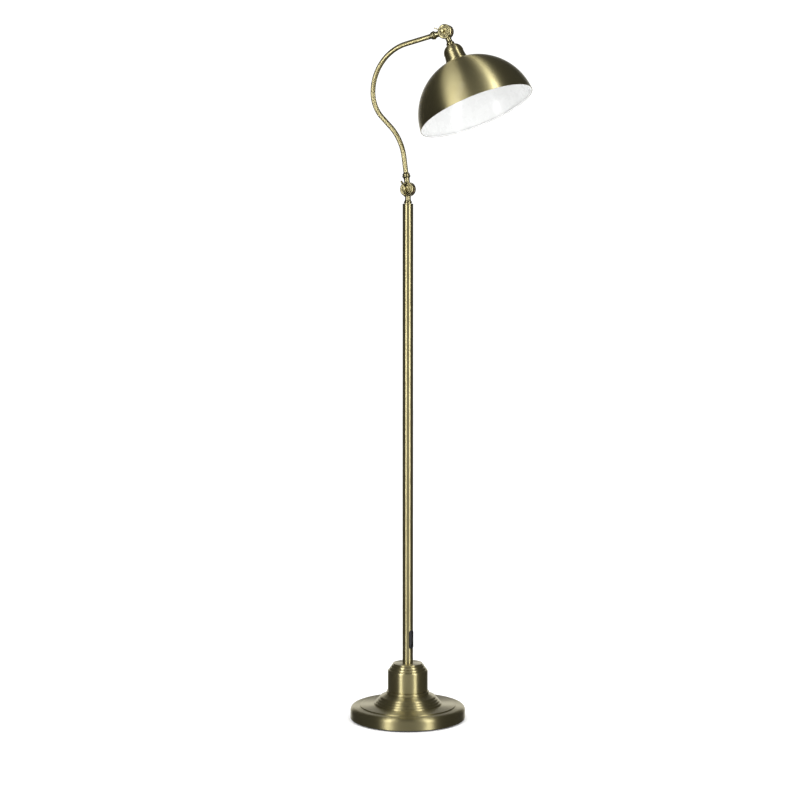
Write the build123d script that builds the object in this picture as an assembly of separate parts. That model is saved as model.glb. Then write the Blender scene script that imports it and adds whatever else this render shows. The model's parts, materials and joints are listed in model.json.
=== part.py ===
# Floor-standing reading lamp: round weighted base, bell-shaped neck, two-piece pole,
# S-curved arm between two wing-screw knuckles, and a domed shade on a cupped lampholder.
# Millimetres, +Z up. The origin is the centre of the foot pad's underside, on the floor.
# The arm lies in the XZ plane and the shade stands out towards +X; both hinges turn about Y.
import math
import os

from build123d import *

# ---- driving sizes -------------------------------------------------------------------
overall_height = 1520.0     # floor to the top of the upper knuckle
base_radius = 127.5
shade_radius = 127.5
pole_radius = 11.75
arm_tube_radius = 5.5
shade_lean = 23.0           # degrees that the shade's axis leans out from straight down

# ---- fits ----------------------------------------------------------------------------
press_gap = 0.05            # radial, between turned parts that screw or push together
turn_gap = 0.05             # radial, between a hinge screw and the half it turns in
face_gap = 0.3              # between flat faces that slide past each other
sweep_gap = 0.4             # between a stem and the disc that swings past it
cut_over = 5.0              # how far a cutting shape runs past what it cuts
join_over = 1.0             # how far two shapes of one piece run into each other

# ---- base ----------------------------------------------------------------------------
pad_setback = 8.5           # of the pad's edge inside the shell's wall
pad_thickness = 3.0
shell_wall = 1.2
shell_lift = 0.4            # rim of the pressed shell above the weight's underside
rim_height = 20.5           # straight outer wall ends here
shoulder_radius = 9.0
band_rise = 0.8             # of the outer band's slope, from the shoulder to the step
step_setback = 20.5         # from the wall to the foot of the rounded step up to the plateau
step_width = 1.6
step_height = 1.9
step_bulge = 0.5
plateau_height = 33.9       # where the plateau meets the mound
mound_foot_radius = 75.4
mound_ring_end = (58.5, 52.5)
mound_rings = 4
ring_bulge = 0.8
mound_ledge = 3.3           # of the mound's top outside the neck's foot
mound_top_height = 57.0
shell_hole_radius = 30.0
weight_gap = 5.3            # between the weight and the shell's wall
weight_top = 14.0
weight_boss_foot = 48.0
weight_boss_top = 36.0
nut_recess_radius = 20.0
nut_recess_depth = 10.0
base_washer_radius = 16.0
base_washer_thickness = 2.0
base_nut_flats = 17.0
base_nut_thickness = 6.5
rod_radius = 5.0
rod_grip = 16.0             # how far the tie rod screws into the pole's foot plug
rod_end_stand = 0.5         # of the tie rod past its nut
rod_end_gap = 0.5           # above the tie rod, in the plug's blind thread

# ---- neck ----------------------------------------------------------------------------
neck_radius = 44.6
neck_top_height = 125.0
neck_foot_radius = 47.2
neck_foot_height = 6.5
neck_foot_bulge = 1.0
neck_foot_groove = 1.4
neck_shoulder_height = 106.0
neck_top_radius = 32.7
neck_steps = 3
neck_step_bulge = 1.0
neck_lip = 2.5              # straight edge of the flat top
neck_wall = 2.0
neck_top_thickness = 4.0

# ---- pole ----------------------------------------------------------------------------
pole_wall = 1.2
foot_plug_length = 20.0
socket_length = 40.0
stud_length = 26.0
stud_radius = 7.0
wire_passage = 4.5
pole_cap_thickness = 2.4
pole_cap_lip = 0.2
pole_cap_round = 0.8
top_plug_length = 16.0

# ---- cord outlet on the pole ---------------------------------------------------------
outlet_height = 179.0
outlet_length = 41.5
outlet_width = 11.5
outlet_stand = 2.5
outlet_turn = -21.5         # degrees round the pole from +X
outlet_spigot_length = 34.0
outlet_spigot_width = 8.6
outlet_spigot_depth = 2.4
outlet_bore_radius = 3.2
outlet_bore_slope = 45.0    # degrees below level

# ---- knuckles ------------------------------------------------------------------------
knuckle_radius = 15.75
knuckle_half_depth = 9.6
knuckle_rim_depth = 7.4     # of the disc's edge, from the hinge's mid plane
knuckle_rim_width = 3.75    # of the rim bead
knuckle_groove_depth = 8.2
knuckle_valley_depth = 8.5
knuckle_valley_width = 1.2  # between the screw's seat and the raised ring
knuckle_groove_width = 0.8  # between the raised ring and the rim bead
knuckle_ridge_rise = 0.9
knuckle_seat_radius = 7.0
knuckle_wall = 3.55         # round the wire chamber
friction_thickness = 0.8
friction_setback = 0.45     # of the friction washer's edge inside the disc's
friction_inset = 0.2        # of its hole outside the wire chamber
chamber_floor = 7.0
screw_boss_radius = 4.6
stem_wall = 0.9             # round the arm tube, where the stem is slimmest
stem_length = 31.5          # hinge axis to the end of the stem
stem_flare_start = 21.0
stem_flare = 1.9
stem_flare_hollow = 0.7
stem_bead_start = 26.6
stem_bead_end = 29.8
stem_bead = 1.0
stem_end_step = 0.6         # from the foot of the bead in to the stem's end
socket_depth = 9.5          # bored into the stem's end for a nipple or the arm tube
stem_bore = 3.8

# ---- wing screws ---------------------------------------------------------------------
screw_radius = 2.5
screw_tip = 8.6
screw_washer_radius = 6.2
screw_washer_thickness = 1.0
wing_hub_foot_radius = 4.6
wing_hub_top_radius = 3.4
wing_hub_length = 10.0
wing_thickness = 2.4
wing_tip_reach = 18.0
wing_tip_lift = 12.0
wing_tip_radius = 3.6
wing_web = 3.0
wing_web_angles = (60.0, 217.0)   # where the web meets the tip's circle
lower_wing_turn = 14.0      # degrees that the upper wing leans from straight up
upper_wing_turn = 70.0

# ---- arm -----------------------------------------------------------------------------
arm_wall = 1.0
arm_first_lean = 7.8        # degrees that the arm leaves the lower hinge, away from the shade
arm_first_run = 69.4
arm_low_bend_radius = 122.0
arm_full_lean = 44.5
arm_middle_run = 28.6
arm_back_bend_radius = 80.0
arm_top_bend_radius = 102.0
arm_last_climb = 11.5       # degrees above level of the last straight run
arm_last_run = 97.5
ferrule_stand = 0.9         # of the ferrule outside the stem's end
ferrule_wall = 0.9          # at its mouth, round the arm tube
ferrule_length = 4.4
ferrule_edge = 1.4          # straight edge before the ferrule's cone
ferrule_bulge = 0.5

# ---- lampholder cup and shade, by distance from the upper hinge along the shade's axis -
cup_seam = 49.9
cup_top_stand = 1.0         # of the cup's top outside the stem's end
cup_shoulder = (16.4, 36.6)
cup_seam_radius = 21.8
cup_seam_groove = 0.5
cup_foot_radius = 24.8
cup_flange_radius = 26.0
cup_flange_bottom = 70.5
cup_flange_thickness = 2.4
cup_skirt_wall = 2.2
cup_skirt_hollow = 0.6
cup_wall = 1.2
cup_lip_radius = 19.3
cup_lip_wall = 1.0
cup_lip_rise = 2.4
cup_lip_drop = 3.0
locknut_flats = 12.8
locknut_thickness = 3.0
shade_wall = 1.0
shade_rim_rise = 8.0        # of the rim above the widest circle of the dome's sphere
shade_hole_radius = 20.3
rim_bead_radius = 1.5
ring_nut_radius = 28.5
ring_nut_thickness = 6.0
ring_nut_notches = 8
ring_nut_notch = 3.0
holder_body_radius = 17.5
holder_body_end = 65.5
holder_thread_radius = 19.9
holder_mouth = 97.5
holder_boss_radius = 9.0
holder_boss_end = 43.0
holder_cavity_radius = 14.3
terminal_radius = 12.5
terminal_top = 55.5
contact_block_top = 63.5
contact_block_thickness = 6.0
contact_block_rim = 2.2     # raised edge that the screw shell stands on
contact_recess_radius = 9.5
screw_shell_radius = 13.35
screw_shell_wall = 0.5
screw_shell_end = 96.5
contact_radius = 4.5
contact_thickness = 1.2

# ---- nipples and wire ----------------------------------------------------------------
nipple_radius = 5.0
nipple_bore = 3.8
nipple_tail = 13.0          # how far a nipple goes past the stem's end
nipple_end_gap = 1.0        # from the shade's nipple to the terminal space
wire_radius = 1.6
wire_offset = 2.1           # from the hinge's mid plane, so that each wire stays in its half
wire_end = 6.4              # distance of a wire's end from the hinge axis
wire_bend_radius = 14.0
wire_mouth_gap = 2.7        # between the wire's end and the outlet's inner end

# ---- worked-out places ---------------------------------------------------------------
weight_bottom = pad_thickness
tube_bore = pole_radius - pole_wall
plug_radius = tube_bore - press_gap
pad_radius = base_radius - pad_setback
weight_radius = base_radius - shell_wall - weight_gap
step_radius = base_radius - step_setback
mound_top_radius = neck_foot_radius + mound_ledge
friction_half = friction_thickness / 2
chamber_radius = knuckle_radius - knuckle_wall
groove_radius = knuckle_radius - knuckle_rim_width
contact_seat = contact_block_top + contact_block_thickness
screw_shell_start = contact_seat + contact_block_rim
stem_radius = arm_tube_radius + stem_wall
flare_radius = stem_radius + stem_flare
stem_end_radius = flare_radius - stem_end_step
ferrule_radius = stem_end_radius + ferrule_stand
ferrule_mouth_radius = arm_tube_radius + ferrule_wall
cup_top_radius = stem_end_radius + cup_top_stand
# centre of the dome's sphere: the cup's flange sits on the dome
shade_centre = cup_flange_bottom + math.sqrt(shade_radius**2 - cup_flange_radius**2)
upper_hinge_z = overall_height - knuckle_radius


def polar(distance, angle):
    """A point of the XZ plane, by its distance and its angle in degrees from +X."""
    turn = math.radians(angle)
    return (distance * math.cos(turn), distance * math.sin(turn))


def arm_route(trim):
    """Centre line of the arm from the lower hinge at (0, 0), cut short by trim at each end."""
    start_angle = 90 + arm_first_lean
    full_angle = 90 + arm_full_lean
    first = Line(polar(trim, start_angle), polar(arm_first_run, start_angle))
    low = JernArc(first @ 1, first % 1, arm_low_bend_radius, full_angle - start_angle)
    middle = PolarLine(low @ 1, arm_middle_run, full_angle)
    back = JernArc(middle @ 1, middle % 1, arm_back_bend_radius, 90 - full_angle)
    top = JernArc(back @ 1, back % 1, arm_top_bend_radius, arm_last_climb - 90)
    last = PolarLine(top @ 1, arm_last_run - trim, arm_last_climb)
    return [first, low, middle, back, top, last]


arm_end = arm_route(0)[-1] @ 1
lower_hinge_z = upper_hinge_z - arm_end.Y
pole_top_z = lower_hinge_z - stem_length
pole_tube_top = pole_top_z - pole_cap_thickness
pole_seam_z = (neck_top_height + pole_tube_top) / 2
lower_hinge = Pos(0, 0, lower_hinge_z)
upper_hinge = Pos(arm_end.X, 0, upper_hinge_z)
shade_frame = upper_hinge * Rot(Y=-shade_lean)


# ---- shape helpers -------------------------------------------------------------------
def turned(*edges):
    """Solid turned about Z from a closed outline drawn as (radius, height)."""
    return revolve(Plane.XZ * make_face(Curve() + list(edges)), Axis.Z)


def rod(radius, bottom, top):
    """Cylinder on Z between two heights."""
    return Pos(0, 0, (bottom + top) / 2) * Cylinder(radius, top - bottom)


def ring(outer, inner, bottom, top):
    """Tube on Z between two heights."""
    return rod(outer, bottom, top) - rod(inner, bottom - cut_over, top + cut_over)


def hex_nut(flats, bore, bottom, top):
    """Hexagon nut on Z."""
    blank = extrude(RegularPolygon(flats / 2, 6, major_radius=False), top - bottom)
    return Pos(0, 0, bottom) * blank - rod(bore, bottom - cut_over, top + cut_over)


def along_hinge(shape):
    """Turn a shape made on Z so that it lies along the hinge axis, +Y."""
    return Rot(X=-90) * shape


def stepped_beads(foot, top, count, bulge):
    """Rounded rings that climb from foot to top, as a chain of bulged arcs."""
    places = [
        (
            foot[0] + (top[0] - foot[0]) * step / count,
            foot[1] + (top[1] - foot[1]) * step / count,
        )
        for step in range(count + 1)
    ]
    return [SagittaArc(places[i], places[i + 1], -bulge) for i in range(count)]


def one_solid(shape):
    """The single solid of a finished piece."""
    solids = shape.solids()
    assert len(solids) == 1, f"{len(solids)} solids"
    return solids[0]


# ---- base ----------------------------------------------------------------------------
def foot_pad():
    return rod(pad_radius, 0, pad_thickness)


def base_weight():
    """Cast disc with a conical boss that carries the neck through the pressed shell."""
    boss_top = mound_top_height - shell_wall
    outline = Polyline(
        (0, weight_bottom),
        (weight_radius, weight_bottom),
        (weight_radius, weight_top),
        (weight_boss_foot, weight_top),
        (weight_boss_top, boss_top),
        (0, boss_top),
        close=True,
    )
    recess = rod(nut_recess_radius, weight_bottom - cut_over, weight_bottom + nut_recess_depth)
    bore = rod(rod_radius + press_gap, 0, boss_top + cut_over)
    return turned(outline) - recess - bore


def shell_outline(inset, lift):
    """Half section under the shell's outer skin, drawn in by inset, from z = lift up."""
    wall_r = base_radius - inset
    shoulder = shoulder_radius - inset
    band_top = rim_height + shoulder_radius - inset
    step_foot = (step_radius - inset, band_top + band_rise)
    step_top = (step_radius - inset - step_width, step_foot[1] + step_height)
    mound_foot = (mound_foot_radius - inset, plateau_height - inset)
    ring_end = (mound_ring_end[0] - inset, mound_ring_end[1] - inset)
    side = Line((wall_r, lift), (wall_r, rim_height))
    corner_end = (wall_r - shoulder, band_top)
    corner_mid = (
        wall_r - shoulder + shoulder * math.cos(math.pi / 4),
        rim_height + shoulder * math.sin(math.pi / 4),
    )
    corner = ThreePointArc((wall_r, rim_height), corner_mid, corner_end)
    band = Line(corner_end, step_foot)
    step = SagittaArc(step_foot, step_top, -step_bulge)
    plateau = Line(step_top, mound_foot)
    beads = stepped_beads(mound_foot, ring_end, mound_rings, ring_bulge)
    top = mound_top_height - inset
    close = Polyline(ring_end, (mound_top_radius - inset, top), (0, top), (0, lift), (wall_r, lift))
    return [side, corner, band, step, plateau, *beads, close]


def base_shell():
    """Pressed brass skin over the weight, with a ringed mound under the neck."""
    rim = weight_bottom + shell_lift
    outside = turned(*shell_outline(0, rim))
    inside = turned(*shell_outline(shell_wall, rim - cut_over))
    hole = rod(shell_hole_radius, 0, mound_top_height + cut_over)
    return outside - inside - hole


def tie_rod():
    """Threaded rod that pulls base, neck and pole together."""
    nut_bottom = weight_bottom + nut_recess_depth - base_washer_thickness - base_nut_thickness
    return rod(rod_radius, nut_bottom - rod_end_stand, neck_top_height + rod_grip)


def base_washer():
    top = weight_bottom + nut_recess_depth
    return ring(base_washer_radius, rod_radius + press_gap, top - base_washer_thickness, top)


def base_nut():
    top = weight_bottom + nut_recess_depth - base_washer_thickness
    return hex_nut(base_nut_flats, rod_radius + press_gap, top - base_nut_thickness, top)


# ---- neck ----------------------------------------------------------------------------
def neck_bell():
    """Spun bell with a foot ring, a ringed shoulder and a flat top that the pole stands on."""
    foot_top = mound_top_height + neck_foot_height
    lip_start = neck_top_height - neck_lip
    foot_edge = neck_foot_radius - neck_foot_bulge
    foot = SagittaArc((foot_edge, mound_top_height), (foot_edge, foot_top), -neck_foot_bulge)
    groove = Polyline(
        (foot_edge, foot_top),
        (neck_radius - neck_foot_groove, foot_top),
        (neck_radius - neck_foot_groove, foot_top + neck_foot_groove),
        (neck_radius, foot_top + neck_foot_groove),
        (neck_radius, neck_shoulder_height),
    )
    beads = stepped_beads(
        (neck_radius, neck_shoulder_height), (neck_top_radius, lip_start), neck_steps, neck_step_bulge
    )
    close = Polyline(
        (neck_top_radius, lip_start),
        (neck_top_radius, neck_top_height),
        (0, neck_top_height),
        (0, mound_top_height),
        (foot_edge, mound_top_height),
    )
    inner_top = neck_top_height - neck_top_thickness
    inner_radius = neck_radius - neck_foot_groove - neck_wall
    hollow = turned(
        Polyline(
            (0, mound_top_height - cut_over),
            (inner_radius, mound_top_height - cut_over),
            (inner_radius, neck_shoulder_height),
            (neck_top_radius - neck_wall - neck_step_bulge, inner_top),
            (0, inner_top),
            close=True,
        )
    )
    bore = rod(rod_radius + press_gap, inner_top - cut_over, neck_top_height + cut_over)
    return turned(foot, groove, *beads, close) - hollow - bore


# ---- pole ----------------------------------------------------------------------------
def pole_foot_plug():
    """Threaded plug brazed into the pole's foot, which the tie rod screws into."""
    plug = rod(plug_radius, neck_top_height, neck_top_height + foot_plug_length)
    thread_end = neck_top_height + rod_grip + rod_end_gap
    return plug - rod(rod_radius + press_gap, neck_top_height - cut_over, thread_end)


def outlet_stadium(length, width, inner, outer):
    """Upright slot-shaped block on the outlet's side of the pole."""
    block = extrude(Plane.YZ * SlotOverall(length, width, rotation=90), outer - inner)
    return Pos(0, 0, outlet_height) * Rot(Z=outlet_turn) * Pos(inner, 0, 0) * block


def outlet_bore(radius):
    """Sloping passage that the supply cord leaves by, downwards and outwards."""
    slope = Rot(Z=outlet_turn) * Rot(Y=90 + outlet_bore_slope)
    return Pos(0, 0, outlet_height) * slope * Pos(0, 0, pole_radius) * Cylinder(radius, 4 * pole_radius)


def pole_lower_tube():
    tube = ring(pole_radius, tube_bore, neck_top_height, pole_seam_z)
    slot = outlet_stadium(
        outlet_spigot_length + 2 * press_gap,
        outlet_spigot_width + 2 * press_gap,
        tube_bore / 2,
        pole_radius + cut_over,
    )
    return tube - slot


def pole_upper_tube():
    return ring(pole_radius, tube_bore, pole_seam_z, pole_tube_top)


def pole_joint_socket():
    """Threaded bush brazed into the top of the lower tube."""
    return ring(plug_radius, stud_radius + press_gap, pole_seam_z - socket_length, pole_seam_z)


def pole_joint_stud():
    """Plug in the foot of the upper tube, with the stud that screws into the bush."""
    plug = rod(plug_radius, pole_seam_z, pole_seam_z + socket_length)
    stud = rod(stud_radius, pole_seam_z - stud_length, pole_seam_z + join_over)
    length = stud_length + socket_length + 2 * cut_over
    return plug + stud - Pos(0, 0, pole_seam_z) * Cylinder(wire_passage, 2 * length)


def pole_top_plug():
    """Cap of the pole, with a spigot in the tube and a thread for the knuckle's nipple."""
    cap = rod(pole_radius + pole_cap_lip, pole_tube_top, pole_top_z)
    cap = fillet(cap.edges().group_by(Axis.Z)[-1], pole_cap_round)
    spigot = rod(plug_radius, pole_tube_top - top_plug_length, pole_tube_top)
    bore = rod(nipple_radius + press_gap, pole_tube_top - top_plug_length - cut_over, pole_top_z + cut_over)
    return cap + spigot - bore


def cord_outlet():
    """Long black bush in the pole's slot, bored for the supply cord."""
    flange = outlet_stadium(outlet_length, outlet_width, 0, pole_radius + outlet_stand)
    flange = flange & rod(pole_radius + outlet_stand, 0, outlet_height + outlet_length)
    flange = flange - rod(pole_radius + press_gap, 0, outlet_height + outlet_length)
    spigot = outlet_stadium(
        outlet_spigot_length,
        outlet_spigot_width,
        tube_bore - outlet_spigot_depth,
        pole_radius + outlet_stand / 2,
    )
    return flange + spigot - outlet_bore(outlet_bore_radius)


# ---- knuckles ------------------------------------------------------------------------
def stem():
    """Stem that hangs down from the hinge and flares into a beaded collar at its end."""
    outline = [
        Line((0, 0), (stem_radius, 0)),
        Line((stem_radius, 0), (stem_radius, -stem_flare_start)),
        SagittaArc(
            (stem_radius, -stem_flare_start), (flare_radius, -stem_bead_start), -stem_flare_hollow
        ),
        SagittaArc((flare_radius, -stem_bead_start), (flare_radius, -stem_bead_end), stem_bead),
        Polyline(
            (flare_radius, -stem_bead_end),
            (stem_end_radius, -stem_bead_end),
            (stem_end_radius, -stem_length),
            (0, -stem_length),
            (0, 0),
        ),
    ]
    return turned(*outline)


def knuckle_disc(parting):
    """Disc on Z from parting up, its outer face ringed round a flat seat for the screw."""
    valley_in = (knuckle_seat_radius, knuckle_valley_depth)
    ridge_in = (knuckle_seat_radius + knuckle_valley_width, knuckle_valley_depth)
    ridge_out = (groove_radius - knuckle_groove_width, knuckle_valley_depth)
    groove = (groove_radius, knuckle_groove_depth)
    rim_edge = (knuckle_radius, knuckle_rim_depth)
    outline = [
        Polyline((0, parting), (0, knuckle_half_depth), (knuckle_seat_radius, knuckle_half_depth)),
        Polyline((knuckle_seat_radius, knuckle_half_depth), valley_in, ridge_in),
        SagittaArc(ridge_in, ridge_out, -knuckle_ridge_rise),
        Line(ridge_out, groove),
        SagittaArc(groove, rim_edge, -knuckle_ridge_rise),
        Polyline(rim_edge, (knuckle_radius, parting), (0, parting)),
    ]
    return turned(*outline)


def knuckle_half(parting, socket_radius):
    """Half of a knuckle on the +Y side: its inner face at y = parting, its stem down."""
    body = along_hinge(knuckle_disc(parting))
    swing = along_hinge(rod(knuckle_radius + sweep_gap, -knuckle_half_depth - cut_over, parting))
    hole = along_hinge(rod(knuckle_radius - join_over, parting - cut_over, knuckle_half_depth + cut_over))
    body = body + (stem() - swing - hole)
    chamber = along_hinge(ring(chamber_radius, screw_boss_radius, parting - cut_over, chamber_floor))
    chamber = chamber & along_hinge(rod(knuckle_radius, parting - join_over, chamber_floor))
    screw_hole = along_hinge(rod(screw_radius + turn_gap, 0, knuckle_half_depth + cut_over))
    passage = rod(stem_bore, -stem_length - cut_over, -(chamber_radius + screw_boss_radius) / 2)
    socket = rod(socket_radius + press_gap, -stem_length - cut_over, socket_depth - stem_length)
    return body - chamber - screw_hole - passage - socket


def threaded_half():
    """The half on the +Y side, which the friction washer lies on, bored for a nipple."""
    return knuckle_half(friction_half, nipple_radius)


def clamped_half():
    """The half on the -Y side with its stem up, bored for the arm tube."""
    return Rot(X=180) * knuckle_half(friction_half + face_gap, arm_tube_radius)


def friction_washer():
    outer = knuckle_radius - friction_setback
    return along_hinge(ring(outer, chamber_radius + friction_inset, -friction_half, friction_half))


def screw_washer():
    """Plain washer under the wing screw's hub, on the clamped half's outer face."""
    outer_face = -knuckle_half_depth
    washer = ring(
        screw_washer_radius, screw_radius + 2 * turn_gap, outer_face - screw_washer_thickness, outer_face
    )
    return along_hinge(washer)


def wing_screw():
    """Screw along the hinge axis with a hub and two wings in front of the knuckle."""
    seat = -knuckle_half_depth - screw_washer_thickness - face_gap
    hub_end = seat - wing_hub_length
    shank = rod(screw_radius, seat, screw_tip)
    hub = turned(
        Polyline(
            (0, seat),
            (wing_hub_foot_radius, seat),
            (wing_hub_top_radius, hub_end),
            (0, hub_end),
            close=True,
        )
    )
    tip = Vector(wing_tip_reach - wing_tip_radius, seat - wing_tip_lift)
    web = Polyline(
        (0, seat - join_over),
        (wing_hub_foot_radius, seat - join_over),
        *[tip + Vector(*polar(wing_tip_radius, angle)) for angle in wing_web_angles],
        (wing_hub_top_radius, hub_end + wing_web),
        (0, hub_end + wing_web),
        close=True,
    )
    leaf = make_face(web) + Pos(*tip) * Circle(wing_tip_radius)
    wing = extrude(Plane.XZ * leaf, wing_thickness / 2, both=True)
    wings = wing + Rot(Z=180) * wing
    return along_hinge(shank + hub + wings)


def lower_knuckle_fixed():
    return lower_hinge * threaded_half()


def lower_knuckle_moving():
    return lower_hinge * Rot(Y=-arm_first_lean) * clamped_half()


def upper_knuckle_arm():
    back_to_arm = 90 + arm_last_climb
    return upper_hinge * Rot(Y=-back_to_arm) * clamped_half()


def upper_knuckle_shade():
    return shade_frame * threaded_half()


# ---- arm -----------------------------------------------------------------------------
def swept(section, route, offset):
    """A flat section swept along a route of the arm's plane, offset along Y."""
    path = Wire([Plane.XZ * edge for edge in route])
    start = Plane(origin=path @ 0, z_dir=path % 0)
    return lower_hinge * Pos(0, offset, 0) * sweep(start * section, path=path)


def arm_tube():
    section = Circle(arm_tube_radius) - Circle(arm_tube_radius - arm_wall)
    return swept(section, arm_route(stem_length - socket_depth), 0)


def ferrule():
    """Beaded ring on the arm tube, standing on a knuckle's stem that points down."""
    edge_end = -stem_length - ferrule_edge
    mouth = -stem_length - ferrule_length
    outline = [
        Polyline((0, -stem_length), (ferrule_radius, -stem_length), (ferrule_radius, edge_end)),
        SagittaArc((ferrule_radius, edge_end), (ferrule_mouth_radius, mouth), -ferrule_bulge),
        Polyline((ferrule_mouth_radius, mouth), (0, mouth), (0, -stem_length)),
    ]
    bore = rod(arm_tube_radius + press_gap, mouth - cut_over, -stem_length + cut_over)
    return turned(*outline) - bore


def arm_lower_ferrule():
    return lower_hinge * Rot(Y=180 - arm_first_lean) * ferrule()


def arm_upper_ferrule():
    return upper_hinge * Rot(Y=90 - arm_last_climb) * ferrule()


# ---- lampholder cup ------------------------------------------------------------------
def holder_cap():
    """Domed upper part of the cup, clamped under the knuckle's stem."""
    top = -stem_length
    inner_top = (cup_top_radius - cup_wall, top - cup_wall)
    inner_shoulder = (cup_shoulder[0] - cup_wall, -cup_shoulder[1] - cup_wall)
    inner_seam = (cup_seam_radius - cup_wall, -cup_seam)
    outside = [
        ThreePointArc(
            (cup_top_radius, top), (cup_shoulder[0], -cup_shoulder[1]), (cup_seam_radius, -cup_seam)
        ),
        Polyline((cup_seam_radius, -cup_seam), (0, -cup_seam), (0, top), (cup_top_radius, top)),
    ]
    inside = [
        ThreePointArc(inner_top, inner_shoulder, inner_seam),
        Polyline(inner_seam, (0, -cup_seam), (0, top - cup_wall), inner_top),
    ]
    bore = rod(nipple_radius + press_gap, top - cut_over, top + cut_over)
    return shade_frame * (turned(*outside) - turned(*inside) - bore)


def holder_skirt():
    """Lower part of the cup: a lip inside the cap, and a flange that sits on the dome."""
    seam_r = cup_seam_radius - cup_seam_groove
    flange_top = cup_flange_bottom - cup_flange_thickness
    outside = [
        Polyline(
            (0, cup_lip_rise - cup_seam),
            (cup_lip_radius, cup_lip_rise - cup_seam),
            (cup_lip_radius, -cup_seam),
            (seam_r, -cup_seam),
        ),
        SagittaArc((seam_r, -cup_seam), (cup_foot_radius, -flange_top), cup_skirt_hollow),
        Polyline(
            (cup_foot_radius, -flange_top),
            (cup_flange_radius, -flange_top),
            (cup_flange_radius, -cup_flange_bottom),
            (0, -cup_flange_bottom),
            (0, cup_lip_rise - cup_seam),
        ),
    ]
    lip_bore = cup_lip_radius - cup_lip_wall
    bore = turned(
        Polyline(
            (0, 0),
            (lip_bore, 0),
            (lip_bore, -cup_seam - cup_lip_drop),
            (cup_foot_radius - cup_skirt_wall, -flange_top),
            (cup_foot_radius - cup_skirt_wall, -cup_flange_bottom - cut_over),
            (0, -cup_flange_bottom - cut_over),
            close=True,
        )
    )
    dome = Pos(0, 0, -shade_centre) * Sphere(shade_radius)
    return shade_frame * (turned(*outside) - bore - dome)


def holder_locknut():
    top = -stem_length - cup_wall
    return shade_frame * hex_nut(locknut_flats, nipple_radius + press_gap, top - locknut_thickness, top)


# ---- lampholder ----------------------------------------------------------------------
def lamp_holder():
    """Moulded holder: boss on the nipple, terminal space, threaded skirt and open mouth."""
    boss_top = -stem_length - cup_wall - locknut_thickness
    body = rod(holder_boss_radius, -holder_boss_end, boss_top)
    body += rod(holder_body_radius, -holder_body_end, -holder_boss_end)
    body += rod(holder_thread_radius, -holder_mouth, -holder_body_end)
    bore = rod(nipple_radius + press_gap, -terminal_top, boss_top + cut_over)
    terminals = rod(terminal_radius, -contact_block_top, -terminal_top)
    cavity = rod(holder_cavity_radius, -holder_mouth - cut_over, -contact_block_top)
    return shade_frame * (body - bore - terminals - cavity)


def contact_block():
    """Ceramic block on the ledge inside the holder, with a recess for the centre contact."""
    block = rod(holder_cavity_radius - press_gap, -screw_shell_start, -contact_block_top)
    recess = rod(contact_recess_radius, -screw_shell_start - cut_over, -contact_seat)
    return shade_frame * (block - recess)


def screw_shell():
    """Sheet-metal shell with the lamp's thread."""
    outer = screw_shell_radius + screw_shell_wall
    return shade_frame * ring(outer, screw_shell_radius, -screw_shell_end, -screw_shell_start)


def centre_contact():
    return shade_frame * rod(contact_radius, -contact_seat - contact_thickness, -contact_seat)


# ---- shade ---------------------------------------------------------------------------
def shade_dome():
    """Domed sheet-metal shade with a bead inside its rim and a hole for the lampholder."""
    inner = shade_radius - shade_wall
    bead_reach = math.sqrt(inner**2 - shade_rim_rise**2) - rim_bead_radius / 2
    shell = Sphere(shade_radius) - Sphere(inner)
    shell = shell & rod(shade_radius + cut_over, shade_rim_rise, shade_radius + cut_over)
    shell = shell + Pos(0, 0, shade_rim_rise + rim_bead_radius) * Torus(bead_reach, rim_bead_radius)
    shell = shell & Sphere(shade_radius)
    shell = shell - rod(shade_hole_radius, 0, shade_radius + cut_over)
    return shade_frame * Pos(0, 0, -shade_centre) * shell


def shade_ring_nut():
    """Notched ring that clamps the dome up against the cup."""
    inner_dome = shade_radius - shade_wall
    top = -(shade_centre - math.sqrt(inner_dome**2 - ring_nut_radius**2))
    nut = ring(ring_nut_radius, holder_thread_radius + press_gap, top - ring_nut_thickness, top)
    for index in range(ring_nut_notches):
        turn = Rot(Z=360 * index / ring_nut_notches)
        nut = nut - turn * Pos(ring_nut_radius, 0, top - ring_nut_thickness) * Cylinder(
            ring_nut_notch / 2, ring_nut_thickness
        )
    return shade_frame * nut


# ---- nipples and wire ----------------------------------------------------------------
def nipple(tail):
    """Hollow threaded nipple from the socket in a stem to tail past the stem's end."""
    return ring(nipple_radius, nipple_bore, -stem_length - tail, socket_depth - stem_length)


def lower_nipple():
    return lower_hinge * nipple(nipple_tail)


def shade_nipple():
    return shade_frame * nipple(terminal_top - stem_length - nipple_end_gap)


def pole_wire():
    """Wire from behind the outlet's bore up the pole and into the lower knuckle."""
    reach = tube_bore - outlet_spigot_depth - wire_mouth_gap
    turn = math.radians(outlet_turn)
    mouth_z = outlet_height - reach * math.tan(math.radians(outlet_bore_slope))
    mouth = (reach * math.cos(turn), reach * math.sin(turn), mouth_z)
    corner = (0, wire_offset, outlet_height)
    end = (0, wire_offset, lower_hinge_z - wire_end)
    path = FilletPolyline(mouth, corner, end, radius=wire_bend_radius)
    return sweep(Plane(origin=path @ 0, z_dir=path % 0) * Circle(wire_radius), path=path)


def arm_wire():
    return swept(Circle(wire_radius), arm_route(wire_end), -wire_offset)


def shade_wire():
    bottom = face_gap - contact_block_top
    return shade_frame * Pos(0, wire_offset, 0) * rod(wire_radius, bottom, -wire_end)


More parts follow.
